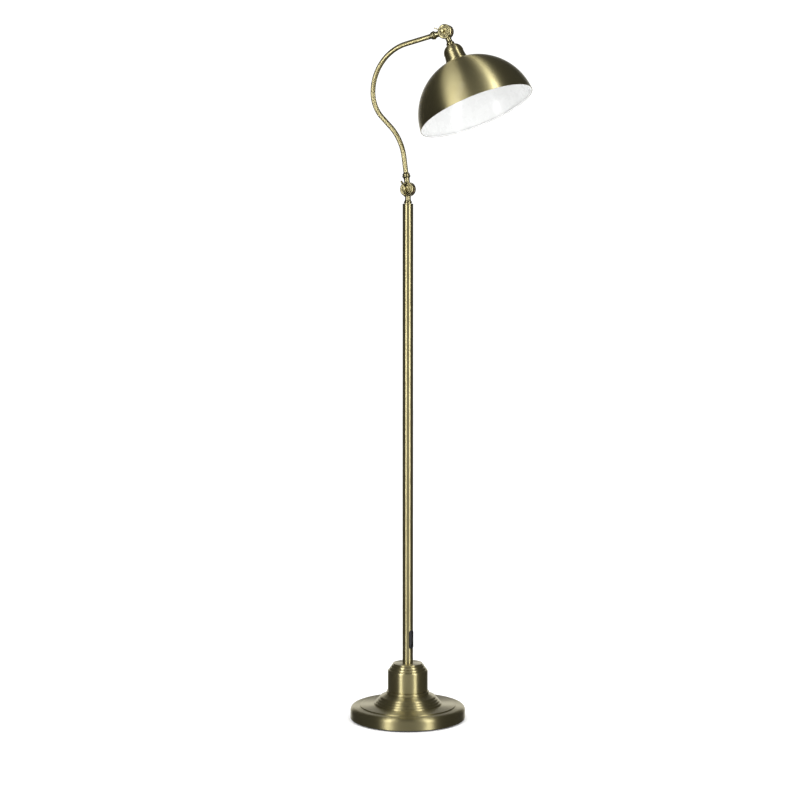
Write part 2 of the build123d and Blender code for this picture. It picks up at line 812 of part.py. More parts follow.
# ---- every piece, by the name of its node --------------------------------------------
pieces = {
    "foot_pad": foot_pad(),
    "base_weight": base_weight(),
    "base_shell": base_shell(),
    "base_washer": base_washer(),
    "base_nut": base_nut(),
    "tie_rod": tie_rod(),
    "neck_bell": neck_bell(),
    "pole_foot_plug": pole_foot_plug(),
    "pole_lower_tube": pole_lower_tube(),
    "pole_joint_socket": pole_joint_socket(),
    "pole_joint_stud": pole_joint_stud(),
    "pole_upper_tube": pole_upper_tube(),
    "pole_top_plug": pole_top_plug(),
    "cord_outlet": cord_outlet(),
    "pole_wire": pole_wire(),
    "lower_nipple": lower_nipple(),
    "lower_knuckle_fixed": lower_knuckle_fixed(),
    "lower_friction_washer": lower_hinge * friction_washer(),
    "lower_knuckle_moving": lower_knuckle_moving(),
    "lower_screw_washer": lower_hinge * screw_washer(),
    "lower_wing_screw": lower_hinge * Rot(Y=-90 - lower_wing_turn) * wing_screw(),
    "arm_lower_ferrule": arm_lower_ferrule(),
    "arm_tube": arm_tube(),
    "arm_upper_ferrule": arm_upper_ferrule(),
    "arm_wire": arm_wire(),
    "upper_knuckle_arm": upper_knuckle_arm(),
    "upper_screw_washer": upper_hinge * screw_washer(),
    "upper_wing_screw": upper_hinge * Rot(Y=-90 - upper_wing_turn) * wing_screw(),
    "upper_knuckle_shade": upper_knuckle_shade(),
    "upper_friction_washer": upper_hinge * friction_washer(),
    "shade_nipple": shade_nipple(),
    "holder_cap": holder_cap(),
    "holder_skirt": holder_skirt(),
    "holder_locknut": holder_locknut(),
    "lamp_holder": lamp_holder(),
    "contact_block": contact_block(),
    "screw_shell": screw_shell(),
    "centre_contact": centre_contact(),
    "shade_dome": shade_dome(),
    "shade_ring_nut": shade_ring_nut(),
    "shade_wire": shade_wire(),
}

os.makedirs("parts", exist_ok=True)
for name, piece in pieces.items():
    export_step(one_solid(piece), f"parts/{name}.step")
print(f"lower hinge z {lower_hinge_z:.2f}, upper hinge x {arm_end.X:.2f} z {upper_hinge_z:.2f}")
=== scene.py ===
import json
import math

import bmesh
import bpy
from mathutils import Matrix, Vector


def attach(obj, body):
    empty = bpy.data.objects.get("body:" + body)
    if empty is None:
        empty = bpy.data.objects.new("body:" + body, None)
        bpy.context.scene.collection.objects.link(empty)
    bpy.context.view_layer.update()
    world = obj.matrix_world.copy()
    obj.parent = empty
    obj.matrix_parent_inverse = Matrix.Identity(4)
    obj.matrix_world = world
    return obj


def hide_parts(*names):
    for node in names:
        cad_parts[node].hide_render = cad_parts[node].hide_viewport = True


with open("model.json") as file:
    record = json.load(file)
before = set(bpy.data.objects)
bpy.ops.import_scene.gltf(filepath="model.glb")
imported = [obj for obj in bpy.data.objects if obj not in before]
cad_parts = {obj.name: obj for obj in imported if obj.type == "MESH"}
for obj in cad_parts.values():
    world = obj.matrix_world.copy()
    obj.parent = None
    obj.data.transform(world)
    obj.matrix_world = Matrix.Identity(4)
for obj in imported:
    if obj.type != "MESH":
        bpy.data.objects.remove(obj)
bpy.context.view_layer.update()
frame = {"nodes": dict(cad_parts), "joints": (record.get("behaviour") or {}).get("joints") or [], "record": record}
print("frame loaded:", len(frame["nodes"]), "nodes")

mm = 0.001
joints = {joint["name"]: joint for joint in frame["joints"]}
mounts = {mount["name"]: mount for mount in frame["record"]["mounts"]}
bodyOf = {node: body for body, nodes in frame["record"]["behaviour"]["bodies"].items() for node in nodes}
slotOf = {part["node"]: part["material_slot"] for part in frame["record"]["subparts"]}
lowerHinge = Vector(joints["arm_tilt"]["pos_m"])
upperHinge = Vector(joints["shade_tilt"]["pos_m"])
shadeAxis = Vector(mounts["lamp_thread"]["axis"]).normalized()
shadeLean = math.degrees(math.atan2(shadeAxis.x, -shadeAxis.z))
outletAxis = Vector(mounts["cord_outlet"]["axis"]).normalized()
outletPoint = Vector(mounts["cord_outlet"]["pos_m"])

# how the arm leaves each hinge, and the bends between: degrees and millimetres
armPlan = {
    "firstLean": 7.8,
    "firstRun": 69.4,
    "lowBend": 122.0,
    "fullLean": 44.5,
    "middleRun": 28.6,
    "backBend": 80.0,
    "topBend": 102.0,
    "lastClimb": 11.5,
    "lastRun": 97.5,
    "trim": 22.0,      # hidden in each knuckle's stem
    "step": 1.6,       # between two rings of the tube
}


def turnY(degrees):
    return Matrix.Rotation(math.radians(degrees), 4, "Y")


upsideDown = Matrix.Rotation(math.pi, 4, "X")
lowerFixedPlace = Matrix.Translation(lowerHinge)
lowerMovingPlace = Matrix.Translation(lowerHinge) @ turnY(-armPlan["firstLean"]) @ upsideDown
upperArmPlace = Matrix.Translation(upperHinge) @ turnY(-90 - armPlan["lastClimb"]) @ upsideDown
shadePlace = Matrix.Translation(upperHinge) @ turnY(-shadeLean)
onPole = Matrix.Identity(4)
ontoHinge = Matrix.Rotation(-math.pi / 2, 4, "X")   # a piece turned about Z, laid along the hinge


# helpers that build node trees
def addNode(tree, kind, inputs=None, **settings):
    node = tree.nodes.new(kind)
    for key, value in settings.items():
        setattr(node, key, value)
    for key, value in (inputs or {}).items():
        if isinstance(value, bpy.types.NodeSocket):
            tree.links.new(value, node.inputs[key])
        else:
            node.inputs[key].default_value = value
    return node


def startMaterial(name, **sockets):
    material = bpy.data.materials.new(name)
    material.use_nodes = True
    shader = material.node_tree.nodes["Principled BSDF"]
    for key, value in sockets.items():
        shader.inputs[key.replace("_", " ")].default_value = value
    return material, material.node_tree, shader


def connect(tree, shader, **sockets):
    for key, value in sockets.items():
        tree.links.new(value, shader.inputs[key.replace("_", " ")])


def objectPlace(tree, stretch=(1, 1, 1)):
    place = addNode(tree, "ShaderNodeTexCoord").outputs["Object"]
    return addNode(tree, "ShaderNodeMapping", {"Vector": place, "Scale": stretch}).outputs[0]


def noise(tree, place, scale, detail=3.0):
    made = addNode(tree, "ShaderNodeTexNoise", {"Vector": place, "Scale": scale, "Detail": detail})
    return made.outputs["Fac"]


def remap(tree, value, low, high, toLow=0.0, toHigh=1.0):
    return addNode(
        tree, "ShaderNodeMapRange",
        {"Value": value, "From Min": low, "From Max": high, "To Min": toLow, "To Max": toHigh},
        interpolation_type="SMOOTHSTEP",
    ).outputs[0]


noiseSpan = (0.3, 0.7)     # where most of a noise's values lie


def patches(tree, place, scale, low=0.0, high=1.0, detail=3.0):
    return remap(tree, noise(tree, place, scale, detail), *noiseSpan, low, high)


def sums(tree, operation, first, second=0.0):
    return addNode(tree, "ShaderNodeMath", {0: first, 1: second}, operation=operation).outputs[0]


def mixColour(tree, share, first, second):
    # 6 and 7 are the node's two colour inputs, and 2 its colour output
    return addNode(
        tree, "ShaderNodeMix", {"Factor": share, 6: first, 7: second}, data_type="RGBA"
    ).outputs[2]


def bumped(tree, shader, height, distance, strength):
    bump = addNode(tree, "ShaderNodeBump", {"Height": height, "Distance": distance, "Strength": strength})
    connect(tree, shader, Normal=bump.outputs[0])


def roundTurn(tree, along, spread):
    # U runs along the outline and V once round, so this place has no seam
    uv = addNode(tree, "ShaderNodeUVMap", uv_map="turned").outputs[0]
    split = addNode(tree, "ShaderNodeSeparateXYZ", {0: uv}).outputs
    angle = sums(tree, "MULTIPLY", split[1], 2 * math.pi)
    across = sums(tree, "MULTIPLY", split[0], along)
    cosine = sums(tree, "MULTIPLY", sums(tree, "COSINE", angle), spread)
    sine = sums(tree, "MULTIPLY", sums(tree, "SINE", angle), spread)
    return addNode(tree, "ShaderNodeCombineXYZ", {0: across, 1: cosine, 2: sine}).outputs[0]


# the lamp's finishes
brassTones = {
    "bright": (0.46, 0.41, 0.22),
    "aged": (0.41, 0.36, 0.185),
    # painted shade: a near-black colour for dark patina and the shade in crevices, laid where the pointiness is
    # low
    "patinaAndShade": (0.07, 0.06, 0.03, 1),
    "worn": (0.58, 0.52, 0.31, 1),
    "patinaShadeEdge": (0.40, 0.47),      # of the pointiness
    "wornEdge": (0.56, 0.66),
    "wornShare": 0.5,
    "blotches": 9.0,                  # per metre
    "blotchRoughness": 0.05,
    "brushLines": 700.0,              # along a turned piece's outline
    "brushRound": 0.5,
    "castGrain": 900.0,
    "castStretch": (1.0, 1.0, 5.0),
    "lineRoughness": 0.02,
    "lineDepth": 0.01 * mm,
    "lineStrength": 0.15,
    "coat": 0.15,
    "coatRoughness": 0.14,
}


def brassFinish(name, turned, roughness, stretch=0.0, shadeScale=1.0):
    plan = brassTones
    material, tree, shader = startMaterial(
        name, Metallic=1.0, Anisotropic=stretch,
        Coat_Weight=plan["coat"], Coat_Roughness=plan["coatRoughness"],
    )
    place = objectPlace(tree)
    # shadeScale darkens this copy of the brass: painted shade
    bright, aged = ((*[part * shadeScale for part in plan[tint]], 1) for tint in ("bright", "aged"))
    base = mixColour(tree, patches(tree, place, plan["blotches"]), bright, aged)
    edges = addNode(tree, "ShaderNodeNewGeometry").outputs["Pointiness"]
    # painted shade: low pointiness pulls the colour towards the near-black patina-and-shade tone
    base = mixColour(tree, remap(tree, edges, *plan["patinaShadeEdge"]), plan["patinaAndShade"], base)
    worn = remap(tree, edges, *plan["wornEdge"], 0.0, plan["wornShare"])
    base = mixColour(tree, worn, base, plan["worn"])
    if turned:
        lines = noise(tree, roundTurn(tree, plan["brushLines"], plan["brushRound"]), 1.0, 2.0)
        tangent = addNode(tree, "ShaderNodeTangent", direction_type="UV_MAP", uv_map="turned")
        connect(tree, shader, Tangent=tangent.outputs[0])
    else:
        lines = noise(tree, objectPlace(tree, plan["castStretch"]), plan["castGrain"], 2.0)
    patchy = patches(tree, place, plan["blotches"] * 2, roughness, roughness + plan["blotchRoughness"])
    brushed = remap(tree, lines, *noiseSpan, -plan["lineRoughness"], plan["lineRoughness"])
    connect(tree, shader, Base_Color=base, Roughness=sums(tree, "ADD", patchy, brushed))
    bumped(tree, shader, lines, plan["lineDepth"], plan["lineStrength"])
    return material


def enamelFinish():
    material, tree, shader = startMaterial("white_enamel", Coat_Weight=0.4, Coat_Roughness=0.1)
    place = objectPlace(tree)
    tint = mixColour(tree, noise(tree, place, 14.0), (0.72, 0.725, 0.72, 1), (0.68, 0.685, 0.68, 1))
    connect(tree, shader, Base_Color=tint, Roughness=patches(tree, place, 60.0, 0.22, 0.34))
    bumped(tree, shader, noise(tree, place, 380.0, 2.0), 0.06 * mm, 0.4)
    return material


def mouldedFinish(name, dark, pale, roughness, grain, depth):
    material, tree, shader = startMaterial(name)
    place = objectPlace(tree)
    tint = mixColour(tree, patches(tree, place, grain / 12, detail=4.0), dark, pale)
    rough = patches(tree, place, grain / 4, roughness - 0.06, roughness + 0.08)
    connect(tree, shader, Base_Color=tint, Roughness=rough)
    bumped(tree, shader, noise(tree, place, grain, 4.0), depth * mm, 0.5)
    return material


def sheetMetalFinish(name, bright, dull, roughness):
    material, tree, shader = startMaterial(name, Metallic=1.0)
    place = objectPlace(tree)
    tint = mixColour(tree, remap(tree, noise(tree, place, 90.0, 4.0), 0.35, 0.7), bright, dull)
    rough = patches(tree, place, 240.0, roughness - 0.05, roughness + 0.1)
    connect(tree, shader, Base_Color=tint, Roughness=rough)
    bumped(tree, shader, noise(tree, place, 1600.0, 2.0), 0.02 * mm, 0.4)
    return material


finishes = {
    "turnedBrass": brassFinish("antique_brass_turned", True, 0.36, 0.85),
    "spunBrass": brassFinish("antique_brass_spun", True, 0.40, 0.95),
    # painted shade: the knuckles get a copy of the brass darkened to 0.72
    "knuckleBrass": brassFinish("antique_brass_knuckle_shaded", False, 0.20, 0.0, 0.72),
    "castBrass": brassFinish("antique_brass_cast", False, 0.24),
    "enamel": enamelFinish(),
    "black_moulding": mouldedFinish(
        "black_moulding", (0.006, 0.006, 0.006, 1), (0.012, 0.012, 0.012, 1), 0.42, 900.0, 0.04
    ),
    "foot_rubber": mouldedFinish(
        "foot_rubber", (0.010, 0.010, 0.010, 1), (0.026, 0.025, 0.024, 1), 0.62, 700.0, 0.12
    ),
    "weight_iron": mouldedFinish(
        "cast_iron", (0.05, 0.05, 0.052, 1), (0.11, 0.10, 0.095, 1), 0.70, 320.0, 0.5
    ),
    "washer_fibre": mouldedFinish(
        "red_fibre", (0.24, 0.09, 0.05, 1), (0.34, 0.14, 0.08, 1), 0.66, 1400.0, 0.05
    ),
    "porcelain": mouldedFinish(
        "porcelain", (0.80, 0.77, 0.71, 1), (0.88, 0.86, 0.82, 1), 0.30, 500.0, 0.03
    ),
    "wire_sleeve": mouldedFinish(
        "wire_sleeve", (0.62, 0.58, 0.46, 1), (0.74, 0.70, 0.58, 1), 0.46, 1200.0, 0.03
    ),
    "plated_steel": sheetMetalFinish("zinc_plate", (0.70, 0.69, 0.66, 1), (0.52, 0.52, 0.50, 1), 0.32),
    "contact_brass": sheetMetalFinish("rolled_brass", (0.80, 0.62, 0.28, 1), (0.62, 0.46, 0.20, 1), 0.26),
}
print("finishes made:", len(finishes))


# outlines are in millimetres, and become meshes in metres
def rounded(corners, closed=False, arcSteps=6):
    # corners are (radius, height, round); each round becomes an arc with a support point either side
    points = []
    last = len(corners) - 1
    for index, corner in enumerate(corners):
        here = Vector(corner[:2])
        size = corner[2] if len(corner) > 2 else 0.0
        if size == 0.0 or (not closed and index in (0, last)):
            points.append(here)
            continue
        before = Vector(corners[index - 1][:2])
        after = Vector(corners[(index + 1) % len(corners)][:2])
        toBefore, toAfter = (before - here), (after - here)
        half = toBefore.angle(toAfter) / 2
        reach = min(size / math.tan(half), 0.45 * toBefore.length, 0.45 * toAfter.length)
        size = reach * math.tan(half)
        toBefore.normalize()
        toAfter.normalize()
        centre = here + (toBefore + toAfter).normalized() * (size / math.sin(half))
        first = here + toBefore * reach
        final = here + toAfter * reach
        sweep = (first - centre).angle_signed(final - centre)
        arc = [
            centre + Matrix.Rotation(-sweep * step / arcSteps, 2) @ (first - centre)
            for step in range(arcSteps + 1)
        ]
        edge = 0.3 * reach
        points += [first + toBefore * edge, *arc, final + toAfter * edge]
    return points


def beads(foot, top, count, bulge, steps=7):
    # rounded rings that climb from foot to top with a crisp valley between them
    foot, top = Vector(foot), Vector(top)
    run = (top - foot) / count
    outwards = Vector((run.y, -run.x)).normalized()
    points = []
    for ring in range(count):
        for step in range(steps):
            share = step / steps
            points.append(foot + run * (ring + share) + outwards * bulge * math.sin(math.pi * share))
    return [tuple(point) for point in points] + [tuple(top)]


def dense(points, step):
    # extra points on the longer runs, for a thread or a wave to bend
    made = [points[0]]
    for before, after in zip(points, points[1:]):
        count = max(1, math.ceil((after - before).length / step))
        made += [before.lerp(after, share / count) for share in range(1, count + 1)]
    return made


def threadWave(depth, pitch, start, end):
    # how far a thread's groove draws in a point at a height and an angle
    def drawIn(height, angle):
        low, high = min(start, end), max(start, end)
        if not low < height < high:
            return 0.0
        fade = min(1.0, (height - low) / pitch, (high - height) / pitch)
        wave = math.cos(2 * math.pi * height / pitch - angle)
        return -depth * fade * (0.5 - 0.5 * wave)
    return drawIn


def turned(name, points, place, steps=96, closed=False, wave=None, waveFrom=0.0, sharp=40):
    # turns an outline of (radius, height) about Z; a wave bends what lies beyond waveFrom
    points = [Vector(point[:2]) for point in points]
    mesh = bmesh.new()
    uvLayer = mesh.loops.layers.uv.new("turned")
    lengths = [0.0]
    loop = points + [points[0]] if closed else points
    for before, after in zip(loop, loop[1:]):
        lengths.append(lengths[-1] + (after - before).length)
    rings = []
    for point in points:
        ring = []
        for step in range(steps):
            angle = 2 * math.pi * step / steps
            radius = point.x + (wave(point.y, angle) if wave and point.x > waveFrom else 0.0)
            ring.append(mesh.verts.new((radius * math.cos(angle), radius * math.sin(angle), point.y)))
        rings.append(ring)
    rows = len(points) if closed else len(points) - 1
    for row in range(rows):
        upper = rings[(row + 1) % len(points)]
        for step in range(steps):
            after = (step + 1) % steps
            face = mesh.faces.new((rings[row][step], rings[row][after], upper[after], upper[step]))
            uvs = ((row, step), (row, step + 1), (row + 1, step + 1), (row + 1, step))
            for corner, (along, turn) in zip(face.loops, uvs):
                corner[uvLayer].uv = (lengths[along] / 100, turn / steps)
    bmesh.ops.remove_doubles(mesh, verts=mesh.verts, dist=1e-5)
    bmesh.ops.dissolve_degenerate(mesh, edges=mesh.edges, dist=1e-6)
    bmesh.ops.recalc_face_normals(mesh, faces=mesh.faces)
    return placedObject(name, mesh, place, sharp)


def solid(name, corners, place, steps=96):
    return turned(name, rounded(corners), place, steps)


def hollow(name, corners, place, steps=96):
    # the outline closes on itself, away from the axis
    return turned(name, rounded(corners, closed=True), place, steps, closed=True)


def newObject(name, data):
    made = bpy.data.objects.new(name, data)
    bpy.context.scene.collection.objects.link(made)
    return made


def placedObject(name, mesh, place, sharp=40):
    # a millimetre bmesh becomes an object at the origin, with its place in its mesh
    mesh.transform(place @ Matrix.Scale(mm, 4))
    data = bpy.data.meshes.new(name)
    mesh.to_mesh(data)
    mesh.free()
    data.shade_smooth()
    data.set_sharp_from_angle(angle=math.radians(sharp))
    return newObject(name, data)


def evaluated(piece):
    # the piece with its modifiers made real
    bpy.context.view_layer.update()
    found = piece.evaluated_get(bpy.context.evaluated_depsgraph_get())
    data = bpy.data.meshes.new_from_object(found)
    name = piece.name
    old = piece.data
    if piece.type == "CURVE":
        bpy.data.objects.remove(piece)
        piece = newObject(name, data)
    else:
        piece.modifiers.clear()
        piece.data = data
        bpy.data.meshes.remove(old)
    data.name = name
    return piece


def takenMesh(piece):
    # the piece's mesh to go on with, once the object itself is gone
    mesh = bmesh.new()
    mesh.from_mesh(piece.data)
    bpy.data.objects.remove(piece)
    return mesh


def lineObject(name, spots, **settings):
    # a curve through points of three numbers
    curve = bpy.data.curves.new(name, "CURVE")
    for key, value in settings.items():
        setattr(curve, key, value)
    spline = curve.splines.new("POLY")
    spline.points.add(len(spots) - 1)
    for point, spot in zip(spline.points, spots):
        point.co = (*spot, 1)
    return newObject(name, curve)


def combine(piece, operation, *others, sharp=40):
    # joins or cuts closed pieces
    for other in others:
        step = piece.modifiers.new("combine", "BOOLEAN")
        step.object = other
        step.operation = operation
        step.solver = "EXACT"
        piece = evaluated(piece)
        bpy.data.objects.remove(other)
    piece.data.shade_smooth()
    piece.data.set_sharp_from_angle(angle=math.radians(sharp))
    return piece


def fit(piece, node, *materials):
    # the piece stands for a CAD node: same body, same slot
    piece.data.materials.clear()
    for material in materials:
        piece.data.materials.append(material)
    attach(piece, bodyOf[node])
    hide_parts(node)


# the base's pressed skin, and the pad under it
basePlan = {
    "radius": 127.5,
    "rimBottom": 3.4,
    "shoulder": 9.0,
    "bandTop": 29.5,
    "step": ((107.0, 30.3), (105.4, 32.2)),
    "moundFoot": (75.4, 33.9),
    "moundTop": (58.5, 52.5),
    "rings": 4,
    "ringBulge": 1.15,
    "topEdge": (50.5, 57.0),
    "hole": 30.0,
    "wall": 1.2,
    "padRadius": 119.0,
    "padHeight": 3.0,
    "padGrooves": (30, 111, 16),      # radius of the first, of the end, and step
    "padGroove": ((0.0, 0.0), (1.2, 0.8), (3.2, 0.8), (4.4, 0.0)),
}


def makeBase():
    plan = basePlan
    outside = [
        (plan["radius"] - 0.6, plan["rimBottom"], 0.3),
        (plan["radius"], plan["rimBottom"] + 0.7, 0.6),
        (plan["radius"], plan["bandTop"], plan["shoulder"]),
        (*plan["step"][0], 0.5),
        (*plan["step"][1], 0.9),
        (*plan["moundFoot"], 0.4),
    ]
    rings = beads(plan["moundFoot"], plan["moundTop"], plan["rings"], plan["ringBulge"])
    ledge = (plan["moundTop"][0] - 1.2, plan["moundTop"][1] + 0.3)
    crown = [
        (*ledge, 0.3),
        (plan["topEdge"][0] + 1.0, plan["topEdge"][1] - 1.1, 1.2),
        (*plan["topEdge"], 0.6),
        (plan["hole"], plan["topEdge"][1], 0.3),
    ]
    wall = plan["wall"]
    inside = [(plan["hole"], plan["topEdge"][1] - wall)]
    for out, up in (plan["topEdge"], plan["moundTop"], plan["moundFoot"], *plan["step"][::-1]):
        inside.append((out - wall, up - wall))
    inside += [
        (plan["radius"] - plan["shoulder"], plan["bandTop"] - wall, 2.0),
        (plan["radius"] - wall, plan["bandTop"] - plan["shoulder"], 2.0),
        (plan["radius"] - wall, plan["rimBottom"] + 0.3),
    ]
    shell = hollow("base_skin", [*outside, *rings[1:], *crown, *inside], onPole, 224)
    fit(shell, "base_shell", finishes["spunBrass"])
    grooves = []
    for radius in range(*plan["padGrooves"]):      # shallow rings that grip the floor
        grooves += [(radius + out, up) for out, up in plan["padGroove"]]
    corners = [
        (0, 0), *grooves, (plan["padRadius"], 0, 0.7),
        (plan["padRadius"], plan["padHeight"], 0.4), (0, plan["padHeight"]),
    ]
    fit(solid("base_pad", corners, onPole, 160), "foot_pad", finishes["foot_rubber"])
    print("base made")


# the bell that carries the pole
neckPlan = {
    "foot": 57.0,
    "footRadius": 47.2,
    "footRing": 6.5,
    "groove": 1.4,
    "radius": 44.6,
    "shoulder": 106.0,
    "topRadius": 32.7,
    "top": 125.0,
    "lip": 2.5,
    "rings": 3,
    "ringBulge": 1.35,
    "wall": 2.0,
    "rodHole": 5.05,
    "topThickness": 4.0,
}


def makeNeck():
    plan = neckPlan
    ringTop = plan["foot"] + plan["footRing"]
    inner = plan["radius"] - plan["groove"] - plan["wall"]
    shoulder = (plan["radius"], plan["shoulder"])
    lip = (plan["topRadius"], plan["top"] - plan["lip"])
    corners = [
        (plan["footRadius"], plan["foot"], 1.0),
        (plan["footRadius"], ringTop, 2.2),
        (plan["radius"] - plan["groove"], ringTop, 0.2),
        (plan["radius"] - plan["groove"], ringTop + 0.9, 0.3),
        (plan["radius"], ringTop + 1.5, 0.6),
        (*shoulder, 0.2),
        *beads(shoulder, lip, plan["rings"], plan["ringBulge"])[1:],
        (plan["topRadius"], plan["top"], 0.5),
        (plan["rodHole"], plan["top"], 0.2),
        (plan["rodHole"], plan["top"] - plan["topThickness"]),
        (plan["topRadius"] - plan["wall"] - 1.0, plan["top"] - plan["topThickness"], 1.0),
        (inner, plan["shoulder"], 2.0),
        (inner, plan["foot"]),
    ]
    fit(hollow("neck_bell_skin", corners, onPole, 160), "neck_bell", finishes["turnedBrass"])
    print("neck made")


# two tubes with a seam, a cap, and the cord's outlet low on one side
polePlan = {
    "radius": 11.75,
    "wall": 1.2,
    "bottom": 125.0,
    "seamEdge": 0.45,
    "capRadius": 11.95,
    "capHeight": 2.4,
    "spigot": 16.0,
    "nippleHole": 5.05,
    "kneeStep": 31.5,     # from the lower hinge down to the cap
}
outletPlan = {
    "height": 179.0,
    "turn": -21.5,
    "length": 41.5,
    "width": 11.5,
    "stand": 2.5,
    "edge": 1.1,
    "bore": 3.2,
    "faceStep": 0.9,      # between the rows of points on its face
    "slotLength": 34.2,
    "slotWidth": 8.8,
    "spigotDepth": 2.4,
}


def tube(name, bottom, top):
    outer, inner, edge = polePlan["radius"], polePlan["radius"] - polePlan["wall"], polePlan["seamEdge"]
    corners = [(outer, bottom, edge), (outer, top, edge), (inner, top, 0.2), (inner, bottom, 0.2)]
    return hollow(name, corners, onPole)


def slotPoints(length, width, inset, steps=16):
    # an upright slot in (across, up), drawn in by inset
    radius = width / 2 - inset
    straight = (length - width) / 2
    points = []
    for side in (1, -1):
        for step in range(steps + 1):
            angle = math.pi * step / steps
            points.append((side * radius * math.cos(angle), side * (straight + radius * math.sin(angle))))
    return points


def slotBlock(name, length, width, layers):
    # layers are (inset, distance from the pole's axis); each lies on a cylinder round that axis
    mesh = bmesh.new()
    rings = []
    for inset, distance in layers:
        ring = []
        for across, up in slotPoints(length, width, inset):
            ring.append(mesh.verts.new((math.sqrt(distance**2 - across**2), across, up)))
        rings.append(ring)
    for lower, upper in zip(rings, rings[1:]):
        for index in range(len(lower)):
            after = (index + 1) % len(lower)
            mesh.faces.new((lower[index], lower[after], upper[after], upper[index]))
    half = len(rings[0]) // 2
    for ring in (rings[0], rings[-1]):
        for index in range(half - 1):      # strips across the slot follow its curve
            left, right = ring[index], ring[-1 - index]
            mesh.faces.new((left, ring[index + 1], ring[-2 - index], right))
    bmesh.ops.remove_doubles(mesh, verts=mesh.verts, dist=1e-4)
    bmesh.ops.recalc_face_normals(mesh, faces=mesh.faces)
    height = Matrix.Translation((0, 0, outletPlan["height"] * mm))
    turn = Matrix.Rotation(math.radians(outletPlan["turn"]), 4, "Z")
    return placedObject(name, mesh, height @ turn)


def makeOutlet():
    plan = outletPlan
    skin, edge = polePlan["radius"], plan["edge"]
    layers = [(0.0, skin + 0.05)]
    for step in range(6):
        angle = math.pi / 2 * step / 5
        inset = edge * (1 - math.cos(angle))
        layers.append((inset, skin + plan["stand"] - edge + edge * math.sin(angle)))
    layers += [(edge + step * plan["faceStep"], skin + plan["stand"]) for step in range(1, 4)]
    flange = slotBlock("cord_bush", plan["length"], plan["width"], layers)
    inner = skin - polePlan["wall"] - plan["spigotDepth"]
    spigot = slotBlock(
        "bush_spigot", plan["slotLength"] - 0.2, plan["slotWidth"] - 0.2,
        [(0.5, inner), (0.0, inner + 0.5), (0.0, skin + plan["stand"] / 2)],
    )
    flange = combine(flange, "UNION", spigot)
    along = outletAxis.to_track_quat("Z", "X").to_matrix().to_4x4()
    bore = turned(
        "bush_bore", [(0, -20), (plan["bore"], -20), (plan["bore"], 20), (0, 20)],
        Matrix.Translation(outletPoint) @ along, steps=48,
    )
    flange = combine(flange, "DIFFERENCE", bore)
    fit(flange, "cord_outlet", finishes["black_moulding"])


def makePole():
    plan = polePlan
    capTop = lowerHinge.z / mm - plan["kneeStep"]
    tubeTop = capTop - plan["capHeight"]
    seam = (plan["bottom"] + tubeTop) / 2
    lower = tube("pole_tube_lower", plan["bottom"], seam)
    slot = slotBlock(
        "pole_slot", outletPlan["slotLength"], outletPlan["slotWidth"],
        [(0.0, plan["radius"] - 3.5), (0.0, plan["radius"] + 3.0)],
    )
    lower = combine(lower, "DIFFERENCE", slot)
    fit(lower, "pole_lower_tube", finishes["turnedBrass"])
    fit(tube("pole_tube_upper", seam, tubeTop), "pole_upper_tube", finishes["turnedBrass"])
    inner = plan["radius"] - plan["wall"] - 0.05
    spigotEnd = tubeTop - plan["spigot"]
    corners = [
        (plan["capRadius"], tubeTop, 0.5), (plan["capRadius"], capTop, 0.9),
        (plan["nippleHole"], capTop, 0.3), (plan["nippleHole"], spigotEnd),
        (inner, spigotEnd, 0.8), (inner, tubeTop),
    ]
    fit(hollow("pole_cap", corners, onPole), "pole_top_plug", finishes["turnedBrass"])
    print("pole made")


# two halves on each hinge, each a ringed disc on a flared and beaded stem
knucklePlan = {
    "radius": 15.75,
    "rimDepth": 7.4,
    "groove": (12.0, 8.2),
    "valley": 8.3,
    "ridge": (8.2, 11.2),
    "ridgeRise": 0.95,
    "seat": (7.0, 9.6),
    "fixedParting": 0.4,
    "movingParting": 0.7,
    "sweepGap": 0.4,
    "chamber": (4.6, 12.2, 7.0),
    "screwHole": 2.55,
    "wireHole": 3.8,
    "wireHoleTop": -8.4,
    "frictionRing": (12.4, 15.3, 0.4),
}
stemPlan = {
    "radius": 6.4,
    "flareStart": 21.0,
    "flareRadius": 8.3,
    "bead": (26.6, 29.8, 9.3),
    "endRadius": 7.7,
    "length": 31.5,
    "socketDepth": 9.5,
    "nippleSocket": 5.05,
    "armSocket": 5.55,
    "cutterEnd": -40.0,       # a hole's cutter starts well below the stem
}
ferrulePlan = {
    "radius": 8.6,
    "mouth": 6.4,
    "length": 4.4,
    "edge": 1.4,
    "hole": 5.55,
}


def knuckleOutline(parting):
    plan = knucklePlan
    ridgeIn = (plan["ridge"][0], plan["valley"])
    ridgeOut = (plan["ridge"][1], plan["valley"])
    rimEdge = (plan["radius"], plan["rimDepth"])
    return rounded(
        [
            (0, plan["seat"][1]),
            (*plan["seat"], 0.45),
            (plan["seat"][0] + 0.2, plan["valley"], 0.2),
            *beads(ridgeOut, ridgeIn, 1, plan["ridgeRise"], 8)[::-1],
            *beads(rimEdge, plan["groove"], 1, plan["ridgeRise"], 10)[::-1],
            (plan["radius"], parting, 0.5),
            (0, parting),
        ]
    )


